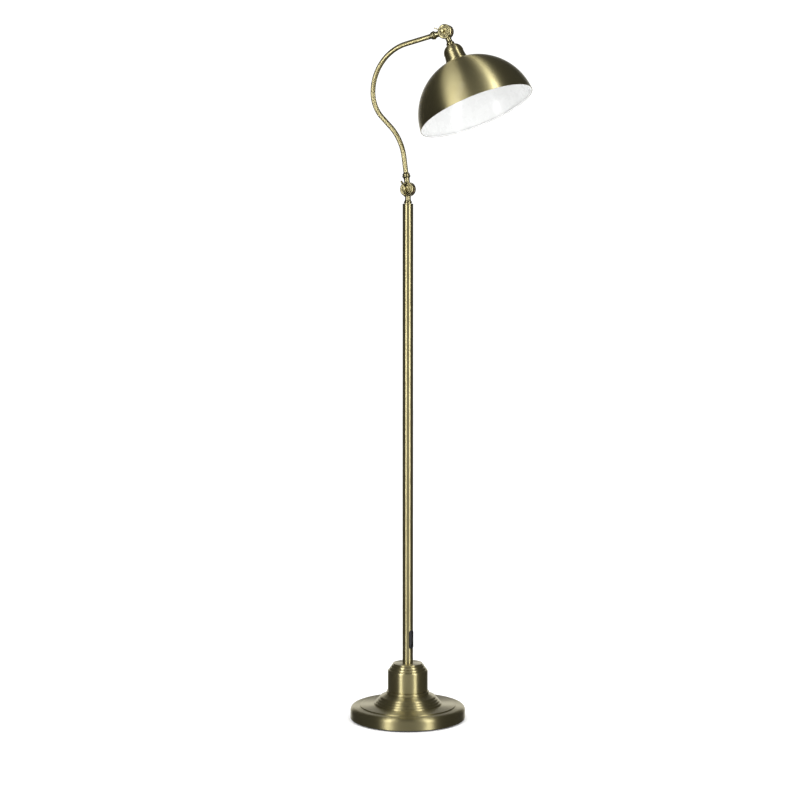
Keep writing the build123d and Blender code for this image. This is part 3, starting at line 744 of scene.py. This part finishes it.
def stemOutline():
    plan = stemPlan
    beadStart, beadEnd, beadRadius = plan["bead"]
    points = [(0, -1.0), (plan["radius"], -1.0), (plan["radius"], -plan["flareStart"], 1.5)]
    for step in range(1, 7):      # the flare opens towards the bead
        share = step / 6
        flare = plan["radius"] + (plan["flareRadius"] - plan["radius"]) * share**2
        points.append((flare, -plan["flareStart"] - (beadStart - plan["flareStart"]) * share))
    beadMiddle, beadHalf = (beadStart + beadEnd) / 2, (beadEnd - beadStart) / 2
    for step in range(1, 10):
        angle = math.pi * step / 10
        out = plan["flareRadius"] + (beadRadius - plan["flareRadius"]) * math.sin(angle)
        points.append((out, -beadMiddle + beadHalf * math.cos(angle)))
    points += [
        (plan["flareRadius"], -beadEnd), (plan["endRadius"], -beadEnd - 0.1, 0.1),
        (plan["endRadius"], -plan["length"], 0.3), (0, -plan["length"]),
    ]
    return rounded(points)


def plug(name, radius, bottom, top, place, steps=64):
    return turned(name, [(0, bottom), (radius, bottom), (radius, top), (0, top)], place, steps=steps)


def knuckleHalf(name, place, parting, socket):
    plan = knucklePlan
    acrossPlace = place @ ontoHinge
    disc = turned(name, knuckleOutline(parting), acrossPlace, steps=112)
    stem = turned("stem", stemOutline(), place, steps=72)
    below = stemPlan["cutterEnd"]
    swing = plug("swing", plan["radius"] + plan["sweepGap"], below, parting, acrossPlace, 112)
    stem = combine(stem, "DIFFERENCE", swing)
    half = combine(disc, "UNION", stem)
    inner, outer, floor = plan["chamber"]
    chamber = turned(
        "chamber", [(inner, -1), (outer, -1), (outer, floor), (inner, floor)], acrossPlace, closed=True
    )
    screwHole = plug("screw_hole", plan["screwHole"], -1, 12, acrossPlace, 40)
    wireHole = plug("wire_hole", plan["wireHole"], below, plan["wireHoleTop"], place, 48)
    socketTop = stemPlan["socketDepth"] - stemPlan["length"]
    socketHole = plug("socket_hole", socket, below, socketTop, place, 48)
    return combine(half, "DIFFERENCE", chamber, screwHole, wireHole, socketHole, sharp=35)


def ferrule(name, place):
    plan = ferrulePlan
    top = -stemPlan["length"]
    corners = [
        (plan["radius"], top, 0.35), (plan["radius"], top - plan["edge"], 0.5),
        (plan["radius"] - 0.9, top - plan["edge"] - 0.6, 0.2),
        (plan["mouth"], top - plan["length"], 0.3),
        (plan["hole"], top - plan["length"]), (plan["hole"], top),
    ]
    return hollow(name, corners, place, 80)


def makeKnuckles():
    plan = knucklePlan
    brass = finishes["knuckleBrass"]
    halves = [
        ("knuckle_lower_root", "lower_knuckle_fixed", lowerFixedPlace, "fixedParting", "nippleSocket"),
        ("knuckle_lower_arm", "lower_knuckle_moving", lowerMovingPlace, "movingParting", "armSocket"),
        ("knuckle_upper_arm", "upper_knuckle_arm", upperArmPlace, "movingParting", "armSocket"),
        ("knuckle_upper_shade", "upper_knuckle_shade", shadePlace, "fixedParting", "nippleSocket"),
    ]
    for name, node, place, parting, socket in halves:
        fit(knuckleHalf(name, place, plan[parting], stemPlan[socket]), node, brass)
    fit(ferrule("ferrule_lower", lowerMovingPlace), "arm_lower_ferrule", brass)
    fit(ferrule("ferrule_upper", upperArmPlace), "arm_upper_ferrule", brass)
    inner, outer, half = plan["frictionRing"]
    corners = [(outer, -half, 0.2), (outer, half, 0.2), (inner, half, 0.2), (inner, -half, 0.2)]
    for name, node, place in (
        ("friction_lower", "lower_friction_washer", lowerFixedPlace),
        ("friction_upper", "upper_friction_washer", shadePlace),
    ):
        fit(hollow(name, corners, place @ ontoHinge), node, finishes["washer_fibre"])
    print("knuckles made")


# a wing screw and its washer on each hinge
wingPlan = {
    "seat": 10.9,         # from the hinge's mid plane to the hub's foot
    "hubFoot": 4.6,
    "hubTop": 3.4,
    "hubLength": 10.0,
    "reach": 18.0,
    "lift": 12.0,
    "tip": 3.6,
    "thickness": 2.4,
    "edge": 0.8,
    "lowerTurn": 14.0,
    "upperTurn": 70.0,
    "shank": 2.5,
    "shankEnd": -8.6,
    "shankBevel": 0.6,
    "threadPitch": 0.8,
    "threadDepth": 0.35,
    "washer": (2.6, 6.2, 1.0),
}


def wingOutline(side):
    # one wing in (out, up), from the hub to the round tip and back
    plan = wingPlan
    tipOut, tipUp = plan["reach"] - plan["tip"], plan["seat"] + plan["lift"]
    points = [(0.0, plan["seat"] + 1.2), (3.4, plan["seat"] + 1.2)]
    points += [(6.6, plan["seat"] + 2.0), (10.4, plan["seat"] + 4.2), (14.2, plan["seat"] + 7.2)]
    for step in range(13):
        angle = math.radians(-50 + 250 * step / 12)
        points.append((tipOut + plan["tip"] * math.cos(angle), tipUp + plan["tip"] * math.sin(angle)))
    points += [(9.0, plan["seat"] + 8.6), (6.2, plan["seat"] + 7.0), (3.4, plan["seat"] + 6.6)]
    points.append((0.0, plan["seat"] + 6.6))
    return [(side * out, up) for out, up in points]


def wing(name, side, place):
    plan = wingPlan
    flat = lineObject(
        name, [(out, up, 0) for out, up in wingOutline(side)], dimensions="2D", fill_mode="BOTH",
        extrude=plan["thickness"] / 2 - plan["edge"],
        bevel_depth=plan["edge"], bevel_resolution=4, offset=-plan["edge"],
    )
    flat.data.splines[0].use_cyclic_u = True
    mesh = takenMesh(evaluated(flat))
    bmesh.ops.remove_doubles(mesh, verts=mesh.verts, dist=1e-4)
    mesh.transform(Matrix.Rotation(math.pi / 2, 4, "X"))      # from lying to upright
    bmesh.ops.recalc_face_normals(mesh, faces=mesh.faces)
    return placedObject(name, mesh, place)


def makeWingScrew(name, node, hinge, turn):
    plan = wingPlan
    lean = math.radians(turn)
    out = Vector((-math.sin(lean), 0, math.cos(lean)))
    front = Vector((0, -1, 0))
    side = front.cross(out)
    place = Matrix.Translation(hinge) @ Matrix((out, side, front)).transposed().to_4x4()
    hubEnd = plan["seat"] + plan["hubLength"]
    shankEnd, bevel = plan["shankEnd"], plan["shankBevel"]
    shank = [
        (0, shankEnd), (plan["shank"] - bevel, shankEnd), (plan["shank"], shankEnd + bevel),
        (plan["shank"], plan["seat"]),
    ]
    outline = dense([Vector(point) for point in shank], plan["threadPitch"] / 5)
    outline += rounded(
        [
            (plan["shank"], plan["seat"]), (plan["hubFoot"], plan["seat"], 0.5),
            (plan["hubFoot"], plan["seat"] + 2.2, 0.6), (plan["hubTop"] + 0.3, hubEnd - 1.5, 0.6),
            (plan["hubTop"], hubEnd, 1.0), (0, hubEnd + 0.2),
        ]
    )[1:]
    wave = threadWave(plan["threadDepth"], plan["threadPitch"], shankEnd, plan["seat"] - 1)
    screw = turned(name, outline, place, steps=56, wave=wave)
    screw = combine(screw, "UNION", wing("wing_left", -1, place), wing("wing_right", 1, place))
    fit(screw, node, finishes["castBrass"])


def makeScrews():
    makeWingScrew("wing_screw_lower", "lower_wing_screw", lowerHinge, wingPlan["lowerTurn"])
    makeWingScrew("wing_screw_upper", "upper_wing_screw", upperHinge, wingPlan["upperTurn"])
    hole, outer, thickness = wingPlan["washer"]
    face = -knucklePlan["seat"][1]
    foot = face - thickness
    corners = [(outer, foot, 0.3), (outer, face, 0.2), (hole, face), (hole, foot)]
    for name, node, hinge in (
        ("washer_lower", "lower_screw_washer", lowerHinge),
        ("washer_upper", "upper_screw_washer", upperHinge),
    ):
        washer = hollow(name, corners, Matrix.Translation(hinge) @ ontoHinge)
        fit(washer, node, finishes["turnedBrass"])
    print("wing screws made")


# the arm's fluted tube
tubePlan = {
    "Radius": 5.5 * mm,
    "Flutes": 11,
    "Flute Depth": 0.34 * mm,
    "Twist": 88.0,           # radians per metre
    "Ring Points": 110,
    "wall": 1.0 * mm,
}


def armPath():
    plan = armPlan
    heading = math.radians(90 + plan["firstLean"])
    point = Vector((lowerHinge.x, lowerHinge.z)) / mm
    runs = [
        (plan["firstRun"], 0.0, 0.0),
        (0.0, plan["lowBend"], plan["fullLean"] - plan["firstLean"]),
        (plan["middleRun"], 0.0, 0.0),
        (0.0, plan["backBend"], -plan["fullLean"]),
        (0.0, plan["topBend"], plan["lastClimb"] - 90.0),
        (plan["lastRun"], 0.0, 0.0),
    ]
    length = sum(run + abs(math.radians(turn)) * bend for run, bend, turn in runs)
    points = []
    walked = 0.0
    for run, bend, turn in runs:
        size = run + abs(math.radians(turn)) * bend
        count = max(1, round(size / plan["step"]))
        for step in range(count):
            if plan["trim"] <= walked + size * step / count <= length - plan["trim"]:
                points.append(point.copy())
            middle = heading + math.radians(turn) / count / 2
            chord = size / count
            point = point + Vector((math.cos(middle), math.sin(middle))) * chord
            heading += math.radians(turn) / count
        walked += size
    return [Vector((spot.x * mm, 0, spot.y * mm)) for spot in points]


def startTree(name, **sockets):
    # named inputs for its sizes and its material, and one geometry out
    tree = bpy.data.node_groups.new(name, "GeometryNodeTree")
    for socket, kind in {"Geometry": "Geometry", **sockets, "Material": "Material"}.items():
        tree.interface.new_socket(
            socket.replace("_", " "), in_out="INPUT", socket_type="NodeSocket" + kind
        )
    tree.interface.new_socket("Geometry", in_out="OUTPUT", socket_type="NodeSocketGeometry")
    return tree, tree.nodes.new("NodeGroupInput").outputs


def endTree(tree, given, made):
    real = addNode(tree, "GeometryNodeRealizeInstances", {"Geometry": made.outputs[0]})
    painted = addNode(
        tree, "GeometryNodeSetMaterial", {"Geometry": real.outputs[0], "Material": given["Material"]}
    )
    addNode(tree, "NodeGroupOutput", {0: painted.outputs[0]})
    return tree


def setInputs(step, values):
    for item in step.node_group.interface.items_tree:
        if item.item_type == "SOCKET" and item.in_out == "INPUT" and item.name in values:
            step[item.identifier] = values[item.name]


def flutedTree():
    # sweeps a fluted ring along the curve and twists it on the way
    tree, given = startTree(
        "twisted_flutes", Radius="Float", Flutes="Int", Flute_Depth="Float", Twist="Float",
        Ring_Points="Int",
    )
    walked = addNode(tree, "GeometryNodeSplineParameter").outputs["Length"]
    tilt = sums(tree, "MULTIPLY", walked, given["Twist"])
    twisted = addNode(tree, "GeometryNodeSetCurveTilt", {"Curve": given["Geometry"], "Tilt": tilt})
    ring = addNode(
        tree, "GeometryNodeCurvePrimitiveCircle",
        {"Resolution": given["Ring Points"], "Radius": given["Radius"]},
    )
    share = sums(tree, "DIVIDE", addNode(tree, "GeometryNodeInputIndex").outputs[0], given["Ring Points"])
    angle = sums(tree, "MULTIPLY", sums(tree, "MULTIPLY", share, given["Flutes"]), 2 * math.pi)
    # round lobes with a narrow valley: the root of the wave's half
    lobe = sums(tree, "ABSOLUTE", sums(tree, "SINE", sums(tree, "MULTIPLY", angle, 0.5)))
    inwards = sums(tree, "SUBTRACT", sums(tree, "SQRT", lobe), 1.0)
    drawn = sums(tree, "MULTIPLY", inwards, given["Flute Depth"])
    place = addNode(tree, "GeometryNodeInputPosition").outputs[0]
    outwards = addNode(tree, "ShaderNodeVectorMath", {0: place}, operation="NORMALIZE").outputs[0]
    offset = addNode(
        tree, "ShaderNodeVectorMath", {0: outwards, "Scale": drawn}, operation="SCALE"
    ).outputs[0]
    fluted = addNode(
        tree, "GeometryNodeSetPosition", {"Geometry": ring.outputs[0], "Offset": offset}
    )
    swept = addNode(
        tree, "GeometryNodeCurveToMesh",
        {"Curve": twisted.outputs[0], "Profile Curve": fluted.outputs[0]},
    )
    return endTree(tree, given, swept)


def makeArm():
    path = armPath()
    arm = lineObject("arm_tube_fluted", path, dimensions="3D")
    step = arm.modifiers.new("flutes", "NODES")
    step.node_group = flutedTree()
    setInputs(step, {**tubePlan, "Material": finishes["castBrass"]})
    arm = evaluated(arm)
    mesh = bmesh.new()
    mesh.from_mesh(arm.data)
    bmesh.ops.recalc_face_normals(mesh, faces=mesh.faces)
    ringPoint = max(mesh.faces, key=lambda each: each.calc_center_median().z)
    if ringPoint.normal.z < 0:
        bmesh.ops.reverse_faces(mesh, faces=mesh.faces)
    mesh.to_mesh(arm.data)
    mesh.free()
    wall = arm.modifiers.new("wall", "SOLIDIFY")
    wall.thickness = tubePlan["wall"]
    wall.offset = -1
    arm = evaluated(arm)
    arm.data.shade_smooth()
    arm.data.set_sharp_from_angle(angle=math.radians(60))
    fit(arm, "arm_tube", finishes["castBrass"])
    print("arm made:", len(path), "rings")


# the cup over the lampholder: heights are distances down from the upper hinge
cupPlan = {
    "top": 31.5,
    "topRadius": 8.7,
    "shoulder": (16.4, 36.6),
    "seam": 49.9,
    "seamRadius": 21.8,
    "foot": 68.1,
    "footRadius": 24.8,
    "flangeRadius": 26.0,
    "flangeBottom": 70.45,
    "wall": 1.2,
    "lip": (19.3, 2.4),
    "nippleHole": 5.05,
    # out and down from the seam
    "skirtCurve": ((-0.55, 0.0, 0.2), (-0.35, 1.6), (0.15, 6.0), (1.1, 12.0)),
}


def circleThrough(first, middle, last, steps):
    # points of the arc through three points
    (ax, ay), (bx, by), (cx, cy) = first, middle, last
    cross = 2 * (ax * (by - cy) + bx * (cy - ay) + cx * (ay - by))
    squares = [x * x + y * y for x, y in (first, middle, last)]
    ux = (squares[0] * (by - cy) + squares[1] * (cy - ay) + squares[2] * (ay - by)) / cross
    uy = (squares[0] * (cx - bx) + squares[1] * (ax - cx) + squares[2] * (bx - ax)) / cross
    centre = Vector((ux, uy))
    start = Vector(first) - centre
    sweep = start.angle_signed(Vector(last) - centre)
    return [
        tuple(centre + Matrix.Rotation(-sweep * step / steps, 2) @ start) for step in range(steps + 1)
    ]


def makeCup():
    plan = cupPlan
    brass = finishes["turnedBrass"]
    wall, seam = plan["wall"], -plan["seam"]
    shoulder = (plan["shoulder"][0], -plan["shoulder"][1])
    outside = circleThrough(
        (plan["topRadius"], -plan["top"]), shoulder, (plan["seamRadius"], seam + 0.9), 18
    )
    inside = circleThrough(
        (plan["topRadius"] - wall, -plan["top"] - wall),
        (shoulder[0] - wall, shoulder[1] - wall),
        (plan["seamRadius"] - wall, seam + 0.9),
        12,
    )
    corners = [
        (plan["nippleHole"], -plan["top"]), *outside,
        (plan["seamRadius"] + 0.1, seam + 0.7, 0.1), (plan["seamRadius"] + 0.1, seam, 0.35),
        (plan["seamRadius"] - wall, seam, 0.2), *inside[::-1],
        (plan["nippleHole"], -plan["top"] - wall),
    ]
    fit(hollow("cup_cap", corners, shadePlace, 128), "holder_cap", brass)
    lipRadius, lipRise = plan["lip"]
    foot = -plan["foot"]
    bottom = -plan["flangeBottom"]
    body = [(plan["seamRadius"] + out, seam - down, *edge) for out, down, *edge in plan["skirtCurve"]]
    lipInner, footInner = lipRadius - 1.0, plan["footRadius"] - 2.2
    corners = [
        (lipRadius, seam + lipRise, 0.3), (lipRadius, seam, 0.1), *body,
        (plan["footRadius"] - 0.6, foot + 1.3, 0.6),
        (plan["footRadius"] - 0.5, foot, 0.15), (plan["flangeRadius"], foot, 0.6),
        (plan["flangeRadius"], bottom + 0.1, 0.3), (footInner, bottom + 0.55),
        (footInner, foot), (lipInner, seam - 3.0), (lipInner, seam + lipRise),
    ]
    fit(hollow("cup_skirt", corners, shadePlace, 128), "holder_skirt", brass)
    print("cup made")


# the dome and the ring nut that holds it, measured as the cup is
shadePlan = {
    "centre": 195.32,
    "radius": 127.5,
    "rimRise": 8.0,       # of the rim above the sphere's widest circle
    "wall": 1.0,
    "hole": 20.3,
    "bead": 1.5,
    "arcSteps": 72,
}
ringNutPlan = {
    "radius": 28.5,
    "body": 27.0,
    "hole": 19.95,
    "top": 72.75,
    "thickness": 6.0,
    "ribs": 32,
    "ribWidth": 1.5,
}


def spherePoints(radius, fromRadius, toRadius, steps):
    # points of the dome's half circle between two distances from its axis
    first, last = math.asin(fromRadius / radius), math.asin(toRadius / radius)
    points = []
    for step in range(steps + 1):
        angle = first + (last - first) * step / steps
        points.append((radius * math.sin(angle), radius * math.cos(angle) - shadePlan["centre"]))
    return points


def makeShade():
    plan = shadePlan
    outer, inner = plan["radius"], plan["radius"] - plan["wall"]
    rim = plan["rimRise"] - plan["centre"]
    rimOuter = math.sqrt(outer**2 - plan["rimRise"] ** 2)
    rimInner = math.sqrt(inner**2 - plan["rimRise"] ** 2)
    outside = spherePoints(outer, plan["hole"], rimOuter, plan["arcSteps"])
    beadOut, beadUp = rimInner - plan["bead"] / 2, rim + plan["bead"]
    bead = []
    for step in range(13):       # the sheet is rolled inwards round the rim
        angle = math.radians(-60 - 240 * step / 12)
        bead.append((beadOut + plan["bead"] * math.cos(angle), beadUp + plan["bead"] * math.sin(angle)))
    inside = spherePoints(inner, plan["hole"], rimInner, plan["arcSteps"])[::-1]
    insideFrom = [point for point in inside if point[1] > rim + 2 * plan["bead"] + 0.3]
    outline = [*outside, (rimOuter - 0.15, rim + 0.02), *bead, *insideFrom]
    dome = turned("shade_skin", outline, shadePlace, steps=256, closed=True, sharp=50)
    fit(dome, "shade_dome", finishes["spunBrass"], finishes["enamel"])
    centre = shadePlace @ Vector((0, 0, -plan["centre"] * mm))
    edge = (outer - 0.6) * mm
    for face in dome.data.polygons:
        middle = face.center - centre
        inwards = middle.dot(face.normal) < 0
        face.material_index = 1 if inwards and middle.length < edge else 0
    print("shade made")


def ribTree():
    # sets one rib on each point of a circle round Z
    tree, given = startTree(
        "grip_ribs", Ribs="Int", Circle_Radius="Float", Rib_Width="Float", Rib_Height="Float"
    )
    circle = addNode(
        tree, "GeometryNodeCurvePrimitiveCircle",
        {"Resolution": given["Ribs"], "Radius": given["Circle Radius"]},
    )
    rib = addNode(
        tree, "GeometryNodeMeshCylinder",
        {"Vertices": 10, "Radius": given["Rib Width"], "Depth": given["Rib Height"]},
    )
    points = addNode(
        tree, "GeometryNodeCurveToPoints", {"Curve": circle.outputs[0]}, mode="EVALUATED"
    )
    placed = addNode(
        tree, "GeometryNodeInstanceOnPoints", {"Points": points.outputs[0], "Instance": rib.outputs[0]}
    )
    return endTree(tree, given, placed)


gripRibs = ribTree()


def ribs(name, count, circleRadius, width, bottom, top, place, material):
    data = bpy.data.meshes.new(name)
    data.from_pydata([(0, 0, 0)], [], [])
    made = newObject(name, data)
    step = made.modifiers.new("ribs", "NODES")
    step.node_group = gripRibs
    values = {
        "Ribs": count, "Circle Radius": circleRadius, "Rib Width": width / 2,
        "Rib Height": abs(top - bottom), "Material": material,
    }
    setInputs(step, values)
    mesh = takenMesh(evaluated(made))
    mesh.transform(Matrix.Translation((0, 0, (bottom + top) / 2)))
    return placedObject(name, mesh, place)


def joined(piece, *others):
    # adds closed shells to a piece as they are
    mesh = bmesh.new()
    mesh.from_mesh(piece.data)
    for other in others:
        mesh.from_mesh(other.data)
        bpy.data.objects.remove(other)
    mesh.to_mesh(piece.data)
    mesh.free()
    return piece


def makeRingNut():
    plan = ringNutPlan
    black = finishes["black_moulding"]
    top, bottom = -plan["top"], -plan["top"] - plan["thickness"]
    corners = [
        (plan["body"], top, 0.4), (plan["body"], bottom, 1.0), (plan["hole"] + 1.2, bottom, 0.4),
        (plan["hole"], bottom + 1.2, 0.3), (plan["hole"], top, 0.3),
    ]
    nut = hollow("ring_nut", corners, shadePlace, 128)
    grip = ribs(
        "nut_ribs", plan["ribs"], plan["radius"] - plan["ribWidth"] / 2, plan["ribWidth"] * 1.6,
        bottom + 0.9, top - 0.3, shadePlace, black,
    )
    fit(joined(nut, grip), "shade_ring_nut", black)


# the lampholder and its contacts, measured as the cup is
holderPlan = {
    "bossRadius": 9.0,
    "bossTop": 35.7,
    "bossEnd": 43.0,
    "bodyRadius": 17.5,
    "bodyEnd": 65.5,
    "threadRadius": 19.9,
    "threadDepth": 0.8,
    "threadPitch": 2.6,
    "threadEnd": 91.5,
    "mouth": 97.5,
    "nippleHole": 5.05,
    "terminals": (12.5, 55.5, 63.5),
    "cavity": 14.3,
    "bodyRibs": 24,
}
contactPlan = {
    "blockRadius": 14.25,
    "blockTop": 63.5,
    "blockFloor": 69.5,
    "rim": 71.7,
    "recess": 9.5,
    "shellRadius": 13.6,
    "shellWall": 0.25,      # each side of the sheet's middle
    "shellWave": 0.32,
    "shellPitch": 3.62,
    "shellEnd": 96.5,
    "contact": 4.5,
    "contactThickness": 1.2,
}


def makeHolder():
    plan = holderPlan
    black = finishes["black_moulding"]
    terminalRadius, terminalTop, terminalEnd = plan["terminals"]
    outside = rounded(
        [
            (plan["nippleHole"], -plan["bossTop"]), (plan["bossRadius"], -plan["bossTop"], 0.6),
            (plan["bossRadius"], -plan["bossEnd"], 0.5), (plan["bodyRadius"], -plan["bossEnd"], 1.6),
            (plan["bodyRadius"], -plan["bodyEnd"], 0.4), (plan["threadRadius"], -plan["bodyEnd"], 0.8),
            (plan["threadRadius"], -plan["mouth"], 1.2), (plan["cavity"] + 0.6, -plan["mouth"], 0.8),
            (plan["cavity"], -plan["mouth"] + 2.0),
            (plan["cavity"], -terminalEnd), (terminalRadius, -terminalEnd),
            (terminalRadius, -terminalTop), (plan["nippleHole"], -terminalTop),
        ]
    )
    outline = dense([*outside, outside[0]], plan["threadPitch"] / 8)[:-1]
    holder = turned(
        "lamp_holder_moulding", outline, shadePlace, steps=112, closed=True,
        wave=threadWave(
            plan["threadDepth"], plan["threadPitch"], -plan["bodyEnd"] - 1.5, -plan["threadEnd"]
        ),
        waveFrom=(plan["threadRadius"] + plan["cavity"]) / 2,      # only the outer wall
    )
    grip = ribs(
        "body_ribs", plan["bodyRibs"], plan["bodyRadius"] - 0.3, 1.4,
        -plan["bodyEnd"] + 1.0, -plan["bossEnd"] - 3.0, shadePlace, black,
    )
    fit(joined(holder, grip), "lamp_holder", black)


def makeContacts():
    plan = contactPlan
    corners = [
        (0, -plan["blockTop"]), (plan["blockRadius"], -plan["blockTop"], 0.5),
        (plan["blockRadius"], -plan["rim"], 0.4), (plan["recess"], -plan["rim"], 0.5),
        (plan["recess"], -plan["blockFloor"], 0.6), (0, -plan["blockFloor"]),
    ]
    fit(solid("porcelain_block", corners, shadePlace), "contact_block", finishes["porcelain"])

    def sheetWave(height, angle):
        low, high = -plan["shellEnd"], -plan["rim"]
        fade = min(1.0, (height - low) / 2.0, (high - height) / 2.0)
        return -plan["shellWave"] * max(0.0, fade) * (
            0.5 - 0.5 * math.cos(2 * math.pi * height / plan["shellPitch"] - angle)
        )

    outer, inner = plan["shellRadius"] + plan["shellWall"], plan["shellRadius"] - plan["shellWall"]
    corners = [
        (outer, -plan["rim"]), (outer, -plan["shellEnd"]),
        (inner, -plan["shellEnd"]), (inner, -plan["rim"]),
    ]
    outline = dense([Vector(corner) for corner in [*corners, corners[0]]], 0.4)[:-1]
    shell = turned("lamp_screw_shell", outline, shadePlace, steps=96, closed=True, wave=sheetWave)
    fit(shell, "screw_shell", finishes["contact_brass"])
    floor, thickness = -plan["blockFloor"], plan["contactThickness"]
    corners = [
        (0, floor), (plan["contact"], floor, 0.2), (plan["contact"], floor - thickness * 0.6, 0.3),
        (plan["contact"] * 0.45, floor - thickness, 0.8), (0, floor - thickness),
    ]
    contact = solid("contact_button", corners, shadePlace, 48)
    fit(contact, "centre_contact", finishes["contact_brass"])
    print("lampholder made")


# what is hidden inside keeps its CAD shape
def finishRest():
    shown = 0
    for name, node in frame["nodes"].items():
        if node.hide_render:
            continue
        node.data.materials.clear()
        node.data.materials.append(finishes[slotOf[name]])
        shown += 1
    print("carried over:", shown)


# the camera, the lights and what the brass reflects
cameraPlan = {
    "turn": 27.0,        # degrees round the pole from the front
    "distance": 3.81,
    "height": 0.95,
    "pitch": -3.61,
    "swing": 0.26,       # degrees that it looks past the pole
    "lens": 78.1,
    "farEnd": 60.0,
}
floorReach = 9000.0
stripLights = [
    {"turn": -40.0, "distance": 2.6, "width": 0.6, "height": 5.0, "middle": 2.4, "power": 70.0},
    {"turn": 43.0, "distance": 2.6, "width": 0.6, "height": 5.0, "middle": 2.4, "power": 70.0},
]
worldTones = {
    "open": 1.16,                # what everything but a reflection sees
    "dark": 0.07,                # reflected from the sides and above
    "behind": 0.95,              # reflected from behind the lamp
    "behindEdge": (0.80, 0.95),
    "front": 0.42,               # reflected from the camera's side, low down
    "frontEdge": (0.55, 0.9),
    "frontTop": (0.55, 0.25),    # how high the front glow reaches, as a sine
}


def aroundPole(turn, distance, height):
    angle = math.radians(turn)
    return Vector((math.sin(angle) * distance, -math.cos(angle) * distance, height))


def makeFloor():
    mesh = bmesh.new()
    bmesh.ops.create_grid(mesh, x_segments=8, y_segments=8, size=floorReach)
    floor = placedObject("floor", mesh, onPole)
    material, tree, shader = startMaterial("pale_floor", Roughness=0.9)
    cloudy = noise(tree, objectPlace(tree), 2.0, 4.0)
    tint = mixColour(tree, cloudy, (0.97, 0.97, 0.97, 1), (0.95, 0.95, 0.95, 1))
    connect(tree, shader, Base_Color=tint)
    floor.data.materials.append(material)
    floor.visible_glossy = False


def makeLights():
    for number, plan in enumerate(stripLights):
        lamp = bpy.data.lights.new(f"strip_{number}", "AREA")
        lamp.shape = "RECTANGLE"
        lamp.size = plan["width"]
        lamp.size_y = plan["height"]
        lamp.energy = plan["power"]
        light = newObject(lamp.name, lamp)
        light.location = aroundPole(cameraPlan["turn"] + plan["turn"], plan["distance"], plan["middle"])
        towards = Vector((0, 0, plan["middle"])) - light.location
        light.rotation_euler = towards.to_track_quat("-Z", "Y").to_euler()


def makeWorld():
    world = bpy.data.worlds.new("studio")
    bpy.context.scene.world = world
    world.use_nodes = True
    tree = world.node_tree
    tree.nodes.clear()
    away = -aroundPole(cameraPlan["turn"], 1.0, 0.0)
    direction = addNode(tree, "ShaderNodeTexCoord").outputs["Generated"]
    facing = addNode(
        tree, "ShaderNodeVectorMath", {0: direction, 1: tuple(away)}, operation="DOT_PRODUCT"
    ).outputs["Value"]
    climb = addNode(tree, "ShaderNodeSeparateXYZ", {0: direction}).outputs[2]
    plan = worldTones
    behind = remap(tree, facing, *plan["behindEdge"], plan["dark"], plan["behind"])
    towards = sums(tree, "MULTIPLY", facing, -1.0)
    front = remap(tree, towards, *plan["frontEdge"], 0.0, plan["front"])
    front = sums(tree, "MULTIPLY", front, remap(tree, climb, *plan["frontTop"]))
    reflected = addNode(tree, "ShaderNodeBackground", {"Color": sums(tree, "ADD", behind, front)})
    opened = addNode(tree, "ShaderNodeBackground", {"Color": (*[plan["open"]] * 3, 1)})
    glossy = addNode(tree, "ShaderNodeLightPath").outputs["Is Glossy Ray"]
    mixed = addNode(
        tree, "ShaderNodeMixShader", {0: glossy, 1: opened.outputs[0], 2: reflected.outputs[0]}
    )
    addNode(tree, "ShaderNodeOutputWorld", {0: mixed.outputs[0]})


def makeCamera():
    plan = cameraPlan
    lens = bpy.data.cameras.new("camera")
    lens.lens = plan["lens"]
    lens.clip_end = plan["farEnd"]
    camera = newObject("camera", lens)
    camera.location = aroundPole(plan["turn"], plan["distance"], plan["height"])
    camera.rotation_euler = (
        math.radians(90 + plan["pitch"]), 0, math.radians(plan["turn"] + plan["swing"])
    )
    bpy.context.scene.camera = camera


makeCamera()
makeFloor()
makeLights()
makeWorld()
bpy.context.scene.view_settings.view_transform = "Standard"
makeBase()
makeNeck()
makePole()
makeOutlet()
makeKnuckles()
makeScrews()
makeArm()
makeCup()
makeShade()
makeRingNut()
makeHolder()
makeContacts()
finishRest()
